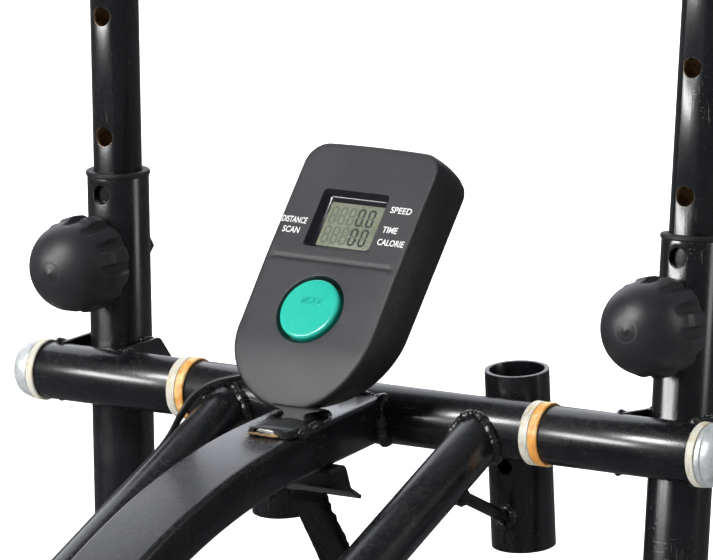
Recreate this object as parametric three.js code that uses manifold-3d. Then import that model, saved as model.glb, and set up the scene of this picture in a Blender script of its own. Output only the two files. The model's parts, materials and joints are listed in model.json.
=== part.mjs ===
// Elliptical trainer with a rear flywheel, two swing arms with telescopic handlebars, and a small console.
// Millimetres, +Z up. +Y is the way the user faces and +X is the user's right hand.
// Most pieces are placed from the centre of the cross tube, the axis that the arms swing about.
import * as THREE from "three";
import { mergeVertices } from "three/addons/utils/BufferGeometryUtils.js";
import Module from "manifold-3d";

const wasm = await Module();
wasm.setup();

// ---------- driving dimensions ----------
const GAP = 0.3; // left between pieces that touch
const WELD_TOLERANCE = 1e-3;
const SIDES = 18; // round tubes
const SMALL_SIDES = 8; // bolts, rods and holes
const OVERSHOOT = 5; // how far a cutter passes the face that it cuts

const PIVOT_HEIGHT = 700; // cross tube's centre above the floor
const BASE_FRONT = 260; // front stabiliser ahead of the cross tube
const BASE_REAR = -900; // rear stabiliser behind the cross tube

// Cross tube and the pivot shaft inside it
const CROSS_RADIUS = 19.05;
const CROSS_BORE = 16;
const SHAFT_RADIUS = 12.5;
const SHAFT_REACH = 262;
const SLEEVE_INNER_END = 138.3;
const SLEEVE_OUTER_END = 251.3;
const BUSH_FLANGE = 3;
const BUSH_FLANGE_RADIUS = 20.8;
const BUSH_LENGTH = 15;
const CAP_LENGTH = 17;
const CAP_RADIUS = 20;

// Main beam: leaves the cross tube a little nose-down, then arches over to the floor beam
const BEAM_WIDTH = 50;
const BEAM_HEIGHT = 30;
const BEAM_CORNER = 4;
const BEAM_DIP = 4.5; // degrees below level at the cross tube
const BEAM_RUN = 86;
const BEAM_ARCH_RADIUS = 540;
const BEAM_ARCH_TURN = 20.5;
const BEAM_KNEE_RADIUS = 400;
const BEAM_KNEE_TURN = 90 - BEAM_DIP - BEAM_ARCH_TURN;

// Side tubes from the cross tube down to the flywheel axle
const SIDE_X = 94.6;
const SIDE_RADIUS = 16.4;
const SIDE_WALL = 2;
const SIDE_DIP = 23.2;
const SIDE_RUN = 454;
const SIDE_BEND_RADIUS = 700;
const SIDE_BEND_TURN = 9;
const SIDE_TAIL = 322;
const HOUSING_RADIUS = 26;
const HOUSING_HALF = 11;

// Empty front sockets
const SOCKET_X = 93;
const SOCKET_FORWARD = 40;
const SOCKET_RADIUS = 21;
const SOCKET_BORE = 18;
const SOCKET_LEAN = 4.86; // top towards the rear
const SOCKET_ABOVE = 31.4;
const SOCKET_BELOW = 86.7;
const SOCKET_HOLE_DROP = 29;
const SOCKET_HOLE_RADIUS = 5.5;
const STRUT_RADIUS = 4;

// Base
const STABILISER_RADIUS = 25;
const STABILISER_HALF = 265;
const AXIS_ABOVE_FLOOR = 30;
const FOOT_RADIUS = 32;
const FOOT_IN = 248;
const FOOT_OUT = 285;
const FLOOR_BEAM_WIDTH = 60;
const FLOOR_BEAM_HEIGHT = 40;
const BASE_Z = AXIS_ABOVE_FLOOR - PIVOT_HEIGHT;
const FLOOR_BEAM_TOP = BASE_Z + FLOOR_BEAM_HEIGHT / 2;
const CARRY_WHEEL_RADIUS = 24;
const CARRY_WHEEL_HALF = 9;
const CARRY_WHEEL_X = 225;
const CARRY_WHEEL_FORWARD = 54;
const CARRY_WHEEL_LIFT = 3;

// Flywheel and cranks
const FLYWHEEL_RADIUS = 190;
const FLYWHEEL_HALF = 11;
const AXLE_RADIUS = 10;
const CRANK_RADIUS = 115;
const CRANK_IN = 114;
const CRANK_OUT = 130;
const CRANK_PIN_OUT = 148;

// Swing arms. Swing is in degrees from upright, positive with the top forward.
const ARM_X = 215.6;
const ARM_FORWARD = 36.8;
const ARM_RADIUS = 20.7;
const ARM_BORE = 17.3;
const ARM_ABOVE = 130;
const ARM_BELOW = 470;
const SWING = { left: -1.38, right: 5.52 };
const HANDLEBAR_RADIUS = 16.25;
const HANDLEBAR_WALL = 1.8;
const HANDLEBAR_START = -34;
const HANDLEBAR_BEND_HEIGHT = 460;
const HANDLEBAR_BEND = 28;
const HANDLEBAR_BEND_RADIUS = 130;
const HANDLEBAR_TAIL = 250;
const HOLE_PITCH = 81;
const KNOB_HEIGHT = 77;
const HOLE_RADIUS = 6.6;
const GRIP_RADIUS = 21;
const GRIP_LENGTH = 232;
const KNOB_RADIUS = 32.5;
const KNOB_BASE = 28.5; // from the arm's axis to the knob's base
const KNOB_TIP = 82;
const KNOB_NOTCHES = 9;
const KNOB_BOLT_RADIUS = 5;
const KNOB_BOLT_BORE = 6;

// Foot rails and plates
const RAIL_X = 172;
const RAIL_HALF = 20;
const RAIL_HEIGHT = 34;
const EYE_RADIUS = 21;
const PIVOT_BOLT_RADIUS = 8;
const PLATE_X = 184;
const PLATE_HALF = 68;
const PLATE_FRONT = -250;
const PLATE_REAR = -548;

// Console. Its own frame has x across the face, y up the face and z out of the face.
const CONSOLE_AT = [0, -20, 126.7];
const CONSOLE_FACE_RISE = 52.2; // degrees from level to the face
const CONSOLE_YAW = -2.75;
const CONSOLE_CENTRE = 1.3;
const CONSOLE_HALF = 56.3;
const CONSOLE_TOP = 57;
const CONSOLE_ROUND_CENTRE = -74;
const CONSOLE_CORNER = 14;
const CONSOLE_FRONT_DEPTH = 26;
const CHIN_STEPS = [[0, 0, -12], [4, -11.5, -19], [9, -18.5, -CONSOLE_FRONT_DEPTH]]; // lift, top, bottom
const CONSOLE_WAIST = -30;
const CONSOLE_BACK = -34;
const CONSOLE_WALL = 2.5;
const LCD_WINDOW = [51, 42];
const LCD_GLASS = [42.5, 32];
const BUTTON_AT = [-1.4, -64.2];
const BUTTON_RADIUS = 21.4;

const rad = THREE.MathUtils.degToRad;
const sideSign = { left: -1, right: 1 };
const sides = Object.keys(sideSign);

// ---------- solids ----------
function solid(geometry) {
  const loose = geometry.index ? geometry.toNonIndexed() : geometry;
  const bare = new THREE.BufferGeometry().setAttribute("position", loose.getAttribute("position"));
  const merged = mergeVertices(bare, WELD_TOLERANCE);
  return new wasm.Manifold(
    new wasm.Mesh({
      numProp: 3,
      vertProperties: merged.attributes.position.array,
      triVerts: new Uint32Array(merged.index.array),
    }),
  );
}

function surface(made) {
  const mesh = made.getMesh();
  const geometry = new THREE.BufferGeometry();
  geometry.setAttribute("position", new THREE.BufferAttribute(mesh.vertProperties, mesh.numProp));
  geometry.setIndex(new THREE.BufferAttribute(mesh.triVerts, 1));
  const faceted = geometry.toNonIndexed();
  faceted.computeVertexNormals();
  return faceted;
}

const join = (...pieces) => pieces.reduce((a, b) => a.add(b));
const cut = (piece, ...cutters) => cutters.reduce((a, b) => a.subtract(b), piece);

function rod(from, to, radius, count = SIDES) {
  const start = new THREE.Vector3(...from);
  const way = new THREE.Vector3(...to).sub(start);
  const geometry = new THREE.CylinderGeometry(radius, radius, way.length(), count);
  geometry.translate(0, way.length() / 2, 0);
  geometry.applyQuaternion(
    new THREE.Quaternion().setFromUnitVectors(new THREE.Vector3(0, 1, 0), way.normalize()),
  );
  geometry.translate(start.x, start.y, start.z);
  return solid(geometry);
}

// A rod along X at a height and a place fore and aft
const rodX = (x0, x1, y, z, radius, count = SIDES) => rod([x0, y, z], [x1, y, z], radius, count);

function pipe(from, to, radius, bore, count = SIDES) {
  const a = new THREE.Vector3(...from);
  const b = new THREE.Vector3(...to);
  const past = b.clone().sub(a).setLength(OVERSHOOT);
  return cut(
    rod(from, to, radius, count),
    rod(a.sub(past).toArray(), b.add(past).toArray(), bore, count),
  );
}

function block([x0, y0, z0], [x1, y1, z1]) {
  const geometry = new THREE.BoxGeometry(x1 - x0, y1 - y0, z1 - z0);
  geometry.translate((x0 + x1) / 2, (y0 + y1) / 2, (z0 + z1) / 2);
  return solid(geometry);
}

function circle(radius, count = SIDES) {
  return Array.from({ length: count }, (_, i) => {
    const turn = (2 * Math.PI * i) / count;
    return new THREE.Vector2(radius * Math.cos(turn), radius * Math.sin(turn));
  });
}

// A corner of an outline: an arc about a centre, angles in degrees
function arc(cx, cy, radius, from, to, steps) {
  return Array.from({ length: steps + 1 }, (_, i) => {
    const turn = rad(from + ((to - from) * i) / steps);
    return new THREE.Vector2(cx + radius * Math.cos(turn), cy + radius * Math.sin(turn));
  });
}

function roundedBox(halfWidth, halfHeight, corner, steps = 1) {
  const x = halfWidth - corner;
  const y = halfHeight - corner;
  return [
    ...arc(x, y, corner, 0, 90, steps),
    ...arc(-x, y, corner, 90, 180, steps),
    ...arc(-x, -y, corner, 180, 270, steps),
    ...arc(x, -y, corner, 270, 360, steps),
  ];
}

function shapeOf(points, hole) {
  const shape = new THREE.Shape(points);
  if (hole) shape.holes.push(new THREE.Path(hole));
  return shape;
}

function extrude(points, depth, hole) {
  return new THREE.ExtrudeGeometry(shapeOf(points, hole), { depth, bevelEnabled: false });
}

// An outline drawn in the YZ plane, carried across from x0 to x1
function plateX(points, x0, x1) {
  const geometry = extrude(points.map(([y, z]) => new THREE.Vector2(y, z)), x1 - x0);
  geometry.applyMatrix4(new THREE.Matrix4().set(0, 0, 1, x0, 1, 0, 0, 0, 0, 1, 0, 0, 0, 0, 0, 1));
  return solid(geometry);
}

// A body of revolution about X from [distance along X, radius] points
function turnedX(profile, count = SIDES) {
  const geometry = new THREE.LatheGeometry(profile.map(([x, r]) => new THREE.Vector2(r, x)), count);
  geometry.rotateZ(-Math.PI / 2);
  return solid(geometry);
}

// A route in the plane x = const made of straight runs and bends. Its stations are the ends of the
// runs and the steps round each bend, so a sweep along it has no more faces than it needs.
class Route extends THREE.Curve {
  constructor(x, [y, z], heading, legs) {
    super();
    this.stations = [];
    this.tangents = [];
    let at = new THREE.Vector2(y, z);
    let angle = heading;
    const mark = () => {
      this.stations.push(new THREE.Vector3(x, at.x, at.y));
      this.tangents.push(new THREE.Vector3(0, Math.cos(rad(angle)), Math.sin(rad(angle))));
    };
    mark();
    for (const { run, turn, radius, steps } of legs) {
      if (run) {
        const heading = new THREE.Vector2(Math.cos(rad(angle)), Math.sin(rad(angle)));
        at = at.clone().addScaledVector(heading, run);
        mark();
        continue;
      }
      const way = Math.sign(turn);
      const centre = at
        .clone()
        .add(new THREE.Vector2(-Math.sin(rad(angle)), Math.cos(rad(angle))).multiplyScalar(way * radius));
      const start = angle;
      for (let i = 1; i <= steps; i++) {
        angle = start + (turn * i) / steps;
        at = centre
          .clone()
          .add(new THREE.Vector2(Math.sin(rad(angle)), -Math.cos(rad(angle))).multiplyScalar(way * radius));
        mark();
      }
    }
    this.end = at;
    this.heading = angle;
  }
  station(u) {
    return Math.round(u * (this.stations.length - 1));
  }
  getPoint(u, target = new THREE.Vector3()) {
    return target.copy(this.stations[this.station(u)]);
  }
  getPointAt(u, target) {
    return this.getPoint(u, target);
  }
  getTangentAt(u, target = new THREE.Vector3()) {
    return target.copy(this.tangents[this.station(u)]);
  }
}

function sweep(points, route, hole) {
  const steps = route.stations ? route.stations.length - 1 : route.steps;
  return solid(new THREE.ExtrudeGeometry(shapeOf(points, hole), { steps, extrudePath: route }));
}

// ---------- finishes ----------
const finish = (color, roughness, metalness) =>
  new THREE.MeshStandardMaterial({ color, roughness, metalness });
const BLACK_PAINT = finish(0x16171a, 0.3, 0.1);
const STEEL = finish(0x9a9a98, 0.35, 1);
const ZINC = finish(0xc6cbca, 0.45, 0.9);
const CAST_IRON = finish(0x4a4b4d, 0.55, 0.8);
const GREY_PLASTIC = finish(0x55555a, 0.6, 0);
const KNOB_PLASTIC = finish(0x4a4b4e, 0.65, 0);
const BLACK_PLASTIC = finish(0x1b1b1c, 0.6, 0);
const NYLON = finish(0xe9e7da, 0.5, 0);
const AGED_NYLON = finish(0xe2ab46, 0.5, 0);
const FOAM = finish(0x1f1f20, 0.95, 0);
const WEBBING = finish(0x111112, 1, 0);
const BOARD = finish(0x2f6b3a, 0.6, 0);
const DISPLAY = finish(0x9ca481, 0.25, 0);
const TURQUOISE = finish(0x2fd2b4, 0.35, 0);

// ---------- scene graph ----------
const machine = new THREE.Group();
const frame = new THREE.Group(); // origin at the middle of the cross tube
machine.add(frame);

function place(parent, name, made, material) {
  const mesh = new THREE.Mesh(surface(made), material);
  mesh.name = name;
  parent.add(mesh);
  return mesh;
}

// ---------- frame ----------
const crossCutter = rodX(-300, 300, 0, 0, CROSS_RADIUS + GAP);
const crossEnd = SLEEVE_INNER_END - 2 * BUSH_FLANGE - 3 * GAP;

function sideRoute(x) {
  return new Route(x, [0, 0], 180 + SIDE_DIP, [
    { run: SIDE_RUN },
    { turn: SIDE_BEND_TURN, radius: SIDE_BEND_RADIUS, steps: 3 },
    { run: SIDE_TAIL },
  ]);
}
const axle = sideRoute(0).end; // x is fore and aft, y is height

function crossTube() {
  return pipe([-crossEnd, 0, 0], [crossEnd, 0, 0], CROSS_RADIUS, CROSS_BORE);
}

function mainBeam() {
  const route = new Route(0, [-CROSS_RADIUS + 4, 0], 180 + BEAM_DIP, [
    { run: BEAM_RUN + 4 },
    { turn: BEAM_ARCH_TURN, radius: BEAM_ARCH_RADIUS, steps: 5 },
    { turn: BEAM_KNEE_TURN, radius: BEAM_KNEE_RADIUS, steps: 8 },
    { run: PIVOT_HEIGHT },
  ]);
  const wall = 2;
  const outer = roundedBox(BEAM_WIDTH / 2, BEAM_HEIGHT / 2, BEAM_CORNER);
  const inner = roundedBox(BEAM_WIDTH / 2 - wall, BEAM_HEIGHT / 2 - wall, BEAM_CORNER - wall);
  const below = block([-100, -2000, -2 * PIVOT_HEIGHT], [100, 500, FLOOR_BEAM_TOP + GAP]);
  return cut(sweep(outer, route, inner), crossCutter, below);
}

// One side tube, with the housing of the axle's bearing welded to its lower end
function sideTube(side) {
  const x = sideSign[side] * SIDE_X;
  const route = sideRoute(x);
  const tube = sweep(circle(SIDE_RADIUS, 12), route, circle(SIDE_RADIUS - SIDE_WALL, 12));
  const housing = rodX(x - HOUSING_HALF, x + HOUSING_HALF, axle.x, axle.y, HOUSING_RADIUS);
  const bore = rodX(x - 40, x + 40, axle.x, axle.y, HOUSING_RADIUS - 6);
  return cut(join(tube, housing), bore, crossCutter);
}

function axleBearing(side) {
  const x = sideSign[side] * SIDE_X;
  const outer = HOUSING_RADIUS - 6 - GAP;
  return pipe([x - HOUSING_HALF, axle.x, axle.y], [x + HOUSING_HALF, axle.x, axle.y], outer, AXLE_RADIUS + GAP);
}

// A socket leans like its own axis; heights are along that axis from the cross tube's level.
function frontSocket(side) {
  const x = sideSign[side] * SOCKET_X;
  const lean = rad(SOCKET_LEAN);
  const on = (s, forward = 0) => [
    x,
    SOCKET_FORWARD - s * Math.sin(lean) + forward * Math.cos(lean),
    s * Math.cos(lean) + forward * Math.sin(lean),
  ];
  const tube = rod(on(-SOCKET_BELOW), on(SOCKET_ABOVE), SOCKET_RADIUS);
  const bore = rod(on(-SOCKET_BELOW - OVERSHOOT), on(SOCKET_ABOVE + OVERSHOOT), SOCKET_BORE);
  const strut = rod([x, -24, -45], on(-64, -SOCKET_BORE - 1), STRUT_RADIUS, SMALL_SIDES);
  const hole = rod(on(-SOCKET_HOLE_DROP), on(-SOCKET_HOLE_DROP, -40), SOCKET_HOLE_RADIUS, SMALL_SIDES);
  const sideCutter = sweep(circle(SIDE_RADIUS + GAP, 16), sideRoute(sideSign[side] * SIDE_X));
  return cut(join(tube, strut), bore, hole, crossCutter, sideCutter);
}

// The tie bar lies on the rear of the main beam's knee and joins the two side tubes.
function tieBar() {
  const y = -494;
  const z = -207;
  const radius = 12;
  const cutters = sides.map((side) => sweep(circle(SIDE_RADIUS + GAP, 16), sideRoute(sideSign[side] * SIDE_X)));
  return cut(pipe([-SIDE_X, y, z], [SIDE_X, y, z], radius, radius - 2), ...cutters);
}

place(frame, "cross_tube", crossTube(), BLACK_PAINT);
place(frame, "main_beam", mainBeam(), BLACK_PAINT);
place(frame, "tie_bar", tieBar(), BLACK_PAINT);
for (const side of sides) {
  place(frame, side + "_side_tube", sideTube(side), BLACK_PAINT);
  place(frame, side + "_axle_bearing", axleBearing(side), STEEL);
  place(frame, side + "_front_socket", frontSocket(side), BLACK_PAINT);
}

// ---------- base ----------
const stabiliserCutter = (y) => rodX(-300, 300, y, BASE_Z, STABILISER_RADIUS + GAP);

function floorBeam() {
  const outline = roundedBox(FLOOR_BEAM_WIDTH / 2, FLOOR_BEAM_HEIGHT / 2, 4);
  const inner = roundedBox(FLOOR_BEAM_WIDTH / 2 - 2.5, FLOOR_BEAM_HEIGHT / 2 - 2.5, 1.5);
  const route = new Route(0, [BASE_FRONT, BASE_Z], 180, [{ run: BASE_FRONT - BASE_REAR }]);
  return cut(sweep(outline, route, inner), stabiliserCutter(BASE_FRONT), stabiliserCutter(BASE_REAR));
}

function stabiliserTube(y) {
  const ends = [-STABILISER_HALF, STABILISER_HALF].map((x) => [x, y, BASE_Z]);
  return pipe(...ends, STABILISER_RADIUS, STABILISER_RADIUS - 2);
}

const carryWheelY = BASE_FRONT + CARRY_WHEEL_FORWARD;
const carryWheelZ = CARRY_WHEEL_LIFT + CARRY_WHEEL_RADIUS - PIVOT_HEIGHT;

// Front stabiliser with an ear and a stub axle for each transport wheel
function frontStabiliser() {
  const ears = sides.map((side) => {
    const x = sideSign[side] * (CARRY_WHEEL_X - CARRY_WHEEL_HALF - 1);
    const ear = plateX(
      [
        [BASE_FRONT, BASE_Z - 12],
        [carryWheelY + 12, carryWheelZ - 10],
        [carryWheelY + 12, carryWheelZ + 12],
        [BASE_FRONT, BASE_Z + 18],
      ],
      Math.min(x, x - 4 * sideSign[side]),
      Math.max(x, x - 4 * sideSign[side]),
    );
    const stub = rodX(
      x - 2 * sideSign[side],
      sideSign[side] * (CARRY_WHEEL_X + CARRY_WHEEL_HALF + 5),
      carryWheelY,
      carryWheelZ,
      4,
      SMALL_SIDES,
    );
    return join(ear, stub);
  });
  const bore = rodX(-300, 300, BASE_FRONT, BASE_Z, STABILISER_RADIUS - 2);
  return cut(join(stabiliserTube(BASE_FRONT), ...ears), bore);
}

// Rear stabiliser with the two uprights that carry the axle housings
function rearStabiliser() {
  const uprights = sides.map((side) => {
    const x = sideSign[side] * SIDE_X;
    const foot = [x, BASE_REAR, BASE_Z];
    return pipe(foot, [x, axle.x, axle.y], 14, 12, 16);
  });
  const housings = rodX(-130, 130, axle.x, axle.y, HOUSING_RADIUS + GAP);
  const bore = rodX(-300, 300, BASE_REAR, BASE_Z, STABILISER_RADIUS - 2);
  return cut(join(stabiliserTube(BASE_REAR), ...uprights), housings, bore);
}

// A foot cap has a flat sole on the floor and a cup that the stabiliser's end fits in.
function footCap(side, y) {
  const s = sideSign[side];
  const body = rodX(s * FOOT_IN, s * FOOT_OUT, y, BASE_Z, FOOT_RADIUS);
  const sole = block([-400, y - 100, BASE_Z - 100], [400, y + 100, -PIVOT_HEIGHT]);
  const cup = rodX(s * (FOOT_IN - OVERSHOOT), s * (STABILISER_HALF + GAP), y, BASE_Z, STABILISER_RADIUS + GAP);
  return cut(body, sole, cup);
}

function carryWheel(side) {
  const x = sideSign[side] * CARRY_WHEEL_X;
  const rim = CARRY_WHEEL_RADIUS;
  const w = CARRY_WHEEL_HALF;
  const wheel = turnedX(
    [
      [-w, 4.5],
      [-w, rim - 3],
      [-w + 3, rim],
      [w - 3, rim],
      [w, rim - 3],
      [w, 4.5],
      [-w, 4.5],
    ],
    24,
  );
  return wheel.translate([x, carryWheelY, carryWheelZ]);
}

place(frame, "floor_beam", floorBeam(), BLACK_PAINT);
place(frame, "front_stabiliser", frontStabiliser(), BLACK_PAINT);
place(frame, "rear_stabiliser", rearStabiliser(), BLACK_PAINT);
for (const side of sides) {
  place(frame, side + "_front_foot_cap", footCap(side, BASE_FRONT), BLACK_PLASTIC);
  place(frame, side + "_rear_foot_cap", footCap(side, BASE_REAR), BLACK_PLASTIC);
  place(frame, side + "_transport_wheel", carryWheel(side), BLACK_PLASTIC);
}

// ---------- pivot shaft, bushes and end caps ----------
// A bush with its flange at x, its barrel reaching back by BUSH_LENGTH towards "into"
function bush(flangeStart, out, into) {
  const flange = rodX(flangeStart, flangeStart + out * BUSH_FLANGE, 0, 0, BUSH_FLANGE_RADIUS);
  const root = into === out ? flangeStart + out * BUSH_FLANGE : flangeStart;
  const barrel = rodX(root - into * 0.5, root + into * BUSH_LENGTH, 0, 0, CROSS_BORE - GAP);
  return cut(join(flange, barrel), rodX(-300, 300, 0, 0, SHAFT_RADIUS + GAP));
}

function endCap(side) {
  const s = sideSign[side];
  const start = SLEEVE_OUTER_END + BUSH_FLANGE + 2 * GAP;
  const cap = turnedX(
    [
      [0, 0],
      [0, CAP_RADIUS],
      [4, CAP_RADIUS],
      [5, CAP_RADIUS - 1.5],
      [10, CAP_RADIUS - 3.5],
      [14, CAP_RADIUS - 8],
      [CAP_LENGTH, CAP_RADIUS - 14],
      [CAP_LENGTH, 0],
    ],
    28,
  );
  const turned = s > 0 ? cap : cap.rotate([0, 0, 180]);
  return cut(turned.translate([s * start, 0, 0]), rodX(0, s * (SHAFT_REACH + GAP), 0, 0, SHAFT_RADIUS + GAP));
}

place(frame, "pivot_shaft", rodX(-SHAFT_REACH, SHAFT_REACH, 0, 0, SHAFT_RADIUS), STEEL);
for (const side of sides) {
  const s = sideSign[side];
  const frameBush = bush(s * (crossEnd + GAP), s, -s);
  place(frame, side + "_frame_bush", frameBush, side === "left" ? AGED_NYLON : NYLON);
  place(frame, side + "_end_cap", endCap(side), ZINC);
}

// ---------- swing arms ----------
function swingArm(side) {
  const s = sideSign[side];
  const x = s * ARM_X;
  const y = ARM_FORWARD;
  const sleeve = rodX(s * SLEEVE_INNER_END, s * SLEEVE_OUTER_END, 0, 0, CROSS_RADIUS);
  const tube = rod([x, y, -ARM_BELOW + 6], [x, y, ARM_ABOVE], ARM_RADIUS);
  const hollow = rod([x, y, -ARM_BELOW + 24], [x, y, ARM_ABOVE + OVERSHOOT], ARM_BORE);
  const flangeOut = 25.4;
  const flangeIn = 22.4;
  const bracket = cut(
    plateX(
      [
        [0, -20],
        [61, -20],
        [61, 2],
        [46, 20],
        [0, 20],
      ],
      x - flangeOut,
      x + flangeOut,
    ),
    block([x - flangeIn, -OVERSHOOT, -40], [x + flangeIn, 58, 40]),
  );
  const webFill = block([x - 8, y + 18, -20], [x + 8, 59, 0]);
  const boss = rodX(x - 21, x + 21, y, -ARM_BELOW, 19);
  const nut = rod([x, y + 18, KNOB_HEIGHT], [x, y + 32, KNOB_HEIGHT], 7.5, 6);
  const weldNut = rod([x, y - 18, KNOB_HEIGHT], [x, y - ARM_RADIUS - 5, KNOB_HEIGHT], 10, SMALL_SIDES);
  const holes = [
    rodX(-300, 300, 0, 0, CROSS_BORE),
    rodX(-300, 300, y, -ARM_BELOW, PIVOT_BOLT_RADIUS + GAP, 16),
    rod([x, y, KNOB_HEIGHT], [x, y - 40, KNOB_HEIGHT], KNOB_BOLT_BORE, SMALL_SIDES),
    rod([x, y, 119.3], [x, y - 40, 119.3], HOLE_RADIUS, SMALL_SIDES),
  ];
  return cut(join(cut(join(tube, bracket, webFill), hollow), sleeve, boss, nut, weldNut), ...holes);
}

function armCollar(side) {
  const x = sideSign[side] * ARM_X;
  const base = ARM_ABOVE + GAP;
  return pipe([x, ARM_FORWARD, base], [x, ARM_FORWARD, base + 3.2], ARM_RADIUS + 0.8, HANDLEBAR_RADIUS + GAP);
}

function handlebarRoute(x) {
  return new Route(x, [ARM_FORWARD, HANDLEBAR_START], 90, [
    { run: HANDLEBAR_BEND_HEIGHT - HANDLEBAR_START },
    { turn: HANDLEBAR_BEND, radius: HANDLEBAR_BEND_RADIUS, steps: 3 },
    { run: HANDLEBAR_TAIL },
  ]);
}

// Telescopic handlebar with height holes right through it
function handlebar(side) {
  const x = sideSign[side] * ARM_X;
  const inner = HANDLEBAR_RADIUS - HANDLEBAR_WALL;
  const tube = sweep(circle(HANDLEBAR_RADIUS), handlebarRoute(x), circle(inner));
  const holes = [0, 1, 2, 3].map((step) => {
    const z = KNOB_HEIGHT + step * HOLE_PITCH;
    return rod([x, ARM_FORWARD - 30, z], [x, ARM_FORWARD + 30, z], HOLE_RADIUS, SMALL_SIDES);
  });
  return cut(tube, ...holes);
}

// A piece along the handlebar's straight tail, from one distance back from its end to another
function onTail(x, fromEnd) {
  const { end, heading } = handlebarRoute(x);
  return [x, end.x - fromEnd * Math.cos(rad(heading)), end.y - fromEnd * Math.sin(rad(heading))];
}

function grip(side) {
  const x = sideSign[side] * ARM_X;
  const body = rod(onTail(x, GRIP_LENGTH), onTail(x, 0.5), GRIP_RADIUS);
  return cut(body, rod(onTail(x, GRIP_LENGTH + OVERSHOOT), onTail(x, -OVERSHOOT), HANDLEBAR_RADIUS + GAP));
}

function gripPlug(side) {
  const x = sideSign[side] * ARM_X;
  const stem = rod(onTail(x, 16), onTail(x, -1), HANDLEBAR_RADIUS - HANDLEBAR_WALL - GAP);
  const flange = rod(onTail(x, -GAP), onTail(x, -3.5), GRIP_RADIUS - 1);
  const dome = rod(onTail(x, -3), onTail(x, -6.5), GRIP_RADIUS - 6);
  return join(stem, flange, dome);
}

// Ball-fronted screw knob. Its bolt's tip stops just short of the handlebar.
function adjustKnob(side) {
  const x = sideSign[side] * ARM_X;
  const length = KNOB_TIP - KNOB_BASE;
  const profile = [[0, 0], [0, KNOB_RADIUS - 8], [4, KNOB_RADIUS - 4], [16, KNOB_RADIUS]];
  const shoulder = length - 30;
  for (let i = 1; i <= 5; i++) {
    const turn = rad((90 * i) / 5);
    const reach = i === 5 ? 0 : KNOB_RADIUS * Math.cos(turn);
    profile.push([shoulder + 30 * Math.sin(turn), reach]);
  }
  const ball = turnedX(profile, 20);
  const notches = Array.from({ length: KNOB_NOTCHES }, (_, i) => {
    const turn = (2 * Math.PI * (i + 0.5)) / KNOB_NOTCHES;
    const y = (KNOB_RADIUS + 2) * Math.cos(turn);
    const z = (KNOB_RADIUS + 2) * Math.sin(turn);
    return rodX(-1, 24, y, z, 5.5, 6);
  });
  const bolt = rodX(-(KNOB_BASE - HANDLEBAR_RADIUS - 2 * GAP), 6, 0, 0, KNOB_BOLT_RADIUS, SMALL_SIDES);
  const neck = rodX(1, -2, 0, 0, 14);
  return join(cut(ball, ...notches), bolt, neck)
    .rotate([0, 0, -90])
    .translate([x, ARM_FORWARD - KNOB_BASE, KNOB_HEIGHT]);
}

const lowerPivot = {}; // where each arm carries its foot rail, [fore and aft, height] at rest
for (const side of sides) {
  const s = sideSign[side];
  const arm = new THREE.Group();
  arm.rotation.x = -rad(SWING[side]);
  frame.add(arm);
  place(arm, side + "_swing_arm", swingArm(side), BLACK_PAINT);
  const innerBush = bush(s * (SLEEVE_INNER_END - GAP), -s, s);
  place(arm, side + "_inner_bush", innerBush, side === "left" ? NYLON : AGED_NYLON);
  place(arm, side + "_outer_bush", bush(s * (SLEEVE_OUTER_END + GAP), s, -s), NYLON);
  place(arm, side + "_arm_collar", armCollar(side), BLACK_PLASTIC);
  place(arm, side + "_handlebar", handlebar(side), BLACK_PAINT);
  place(arm, side + "_grip", grip(side), FOAM);
  place(arm, side + "_grip_plug", gripPlug(side), BLACK_PLASTIC);
  place(arm, side + "_adjust_knob", adjustKnob(side), KNOB_PLASTIC);
  const swing = rad(SWING[side]);
  lowerPivot[side] = new THREE.Vector2(
    ARM_FORWARD * Math.cos(swing) - ARM_BELOW * Math.sin(swing),
    -ARM_FORWARD * Math.sin(swing) - ARM_BELOW * Math.cos(swing),
  );
}

// ---------- flywheel and crankset ----------
// The crank's angle past upright at which both foot rails come out the same length
function crankPhase() {
  const left = lowerPivot.left.clone().sub(axle);
  const right = lowerPivot.right.clone().sub(axle);
  const alongSine = 2 * CRANK_RADIUS * (left.x + right.x);
  const alongCosine = 2 * CRANK_RADIUS * (left.y + right.y);
  const difference = left.lengthSq() - right.lengthSq();
  const size = Math.hypot(alongSine, alongCosine);
  return Math.asin(difference / size) - Math.atan2(alongCosine, alongSine);
}
const phase = crankPhase();
const crankPin = {
  left: new THREE.Vector2(Math.sin(phase), Math.cos(phase)).multiplyScalar(CRANK_RADIUS).add(axle),
  right: new THREE.Vector2(-Math.sin(phase), -Math.cos(phase)).multiplyScalar(CRANK_RADIUS).add(axle),
};

function flywheel() {
  const rim = FLYWHEEL_RADIUS;
  const w = FLYWHEEL_HALF;
  const half = [
    [w + 12, AXLE_RADIUS + GAP],
    [w + 12, 28],
    [w - 8, 34],
    [w - 8, rim - 32],
    [w, rim - 28],
    [w, rim],
  ];
  const mirrored = half.map(([x, r]) => [-x, r]);
  const disc = turnedX([...mirrored, ...half.reverse(), mirrored[0]], 36);
  const spokes = 5;
  const windows = Array.from({ length: spokes }, (_, i) => {
    const turn = (2 * Math.PI * i) / spokes;
    return rodX(-40, 40, 98 * Math.cos(turn), 98 * Math.sin(turn), 34, 10);
  });
  return cut(disc, ...windows).translate([0, axle.x, axle.y]);
}

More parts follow.
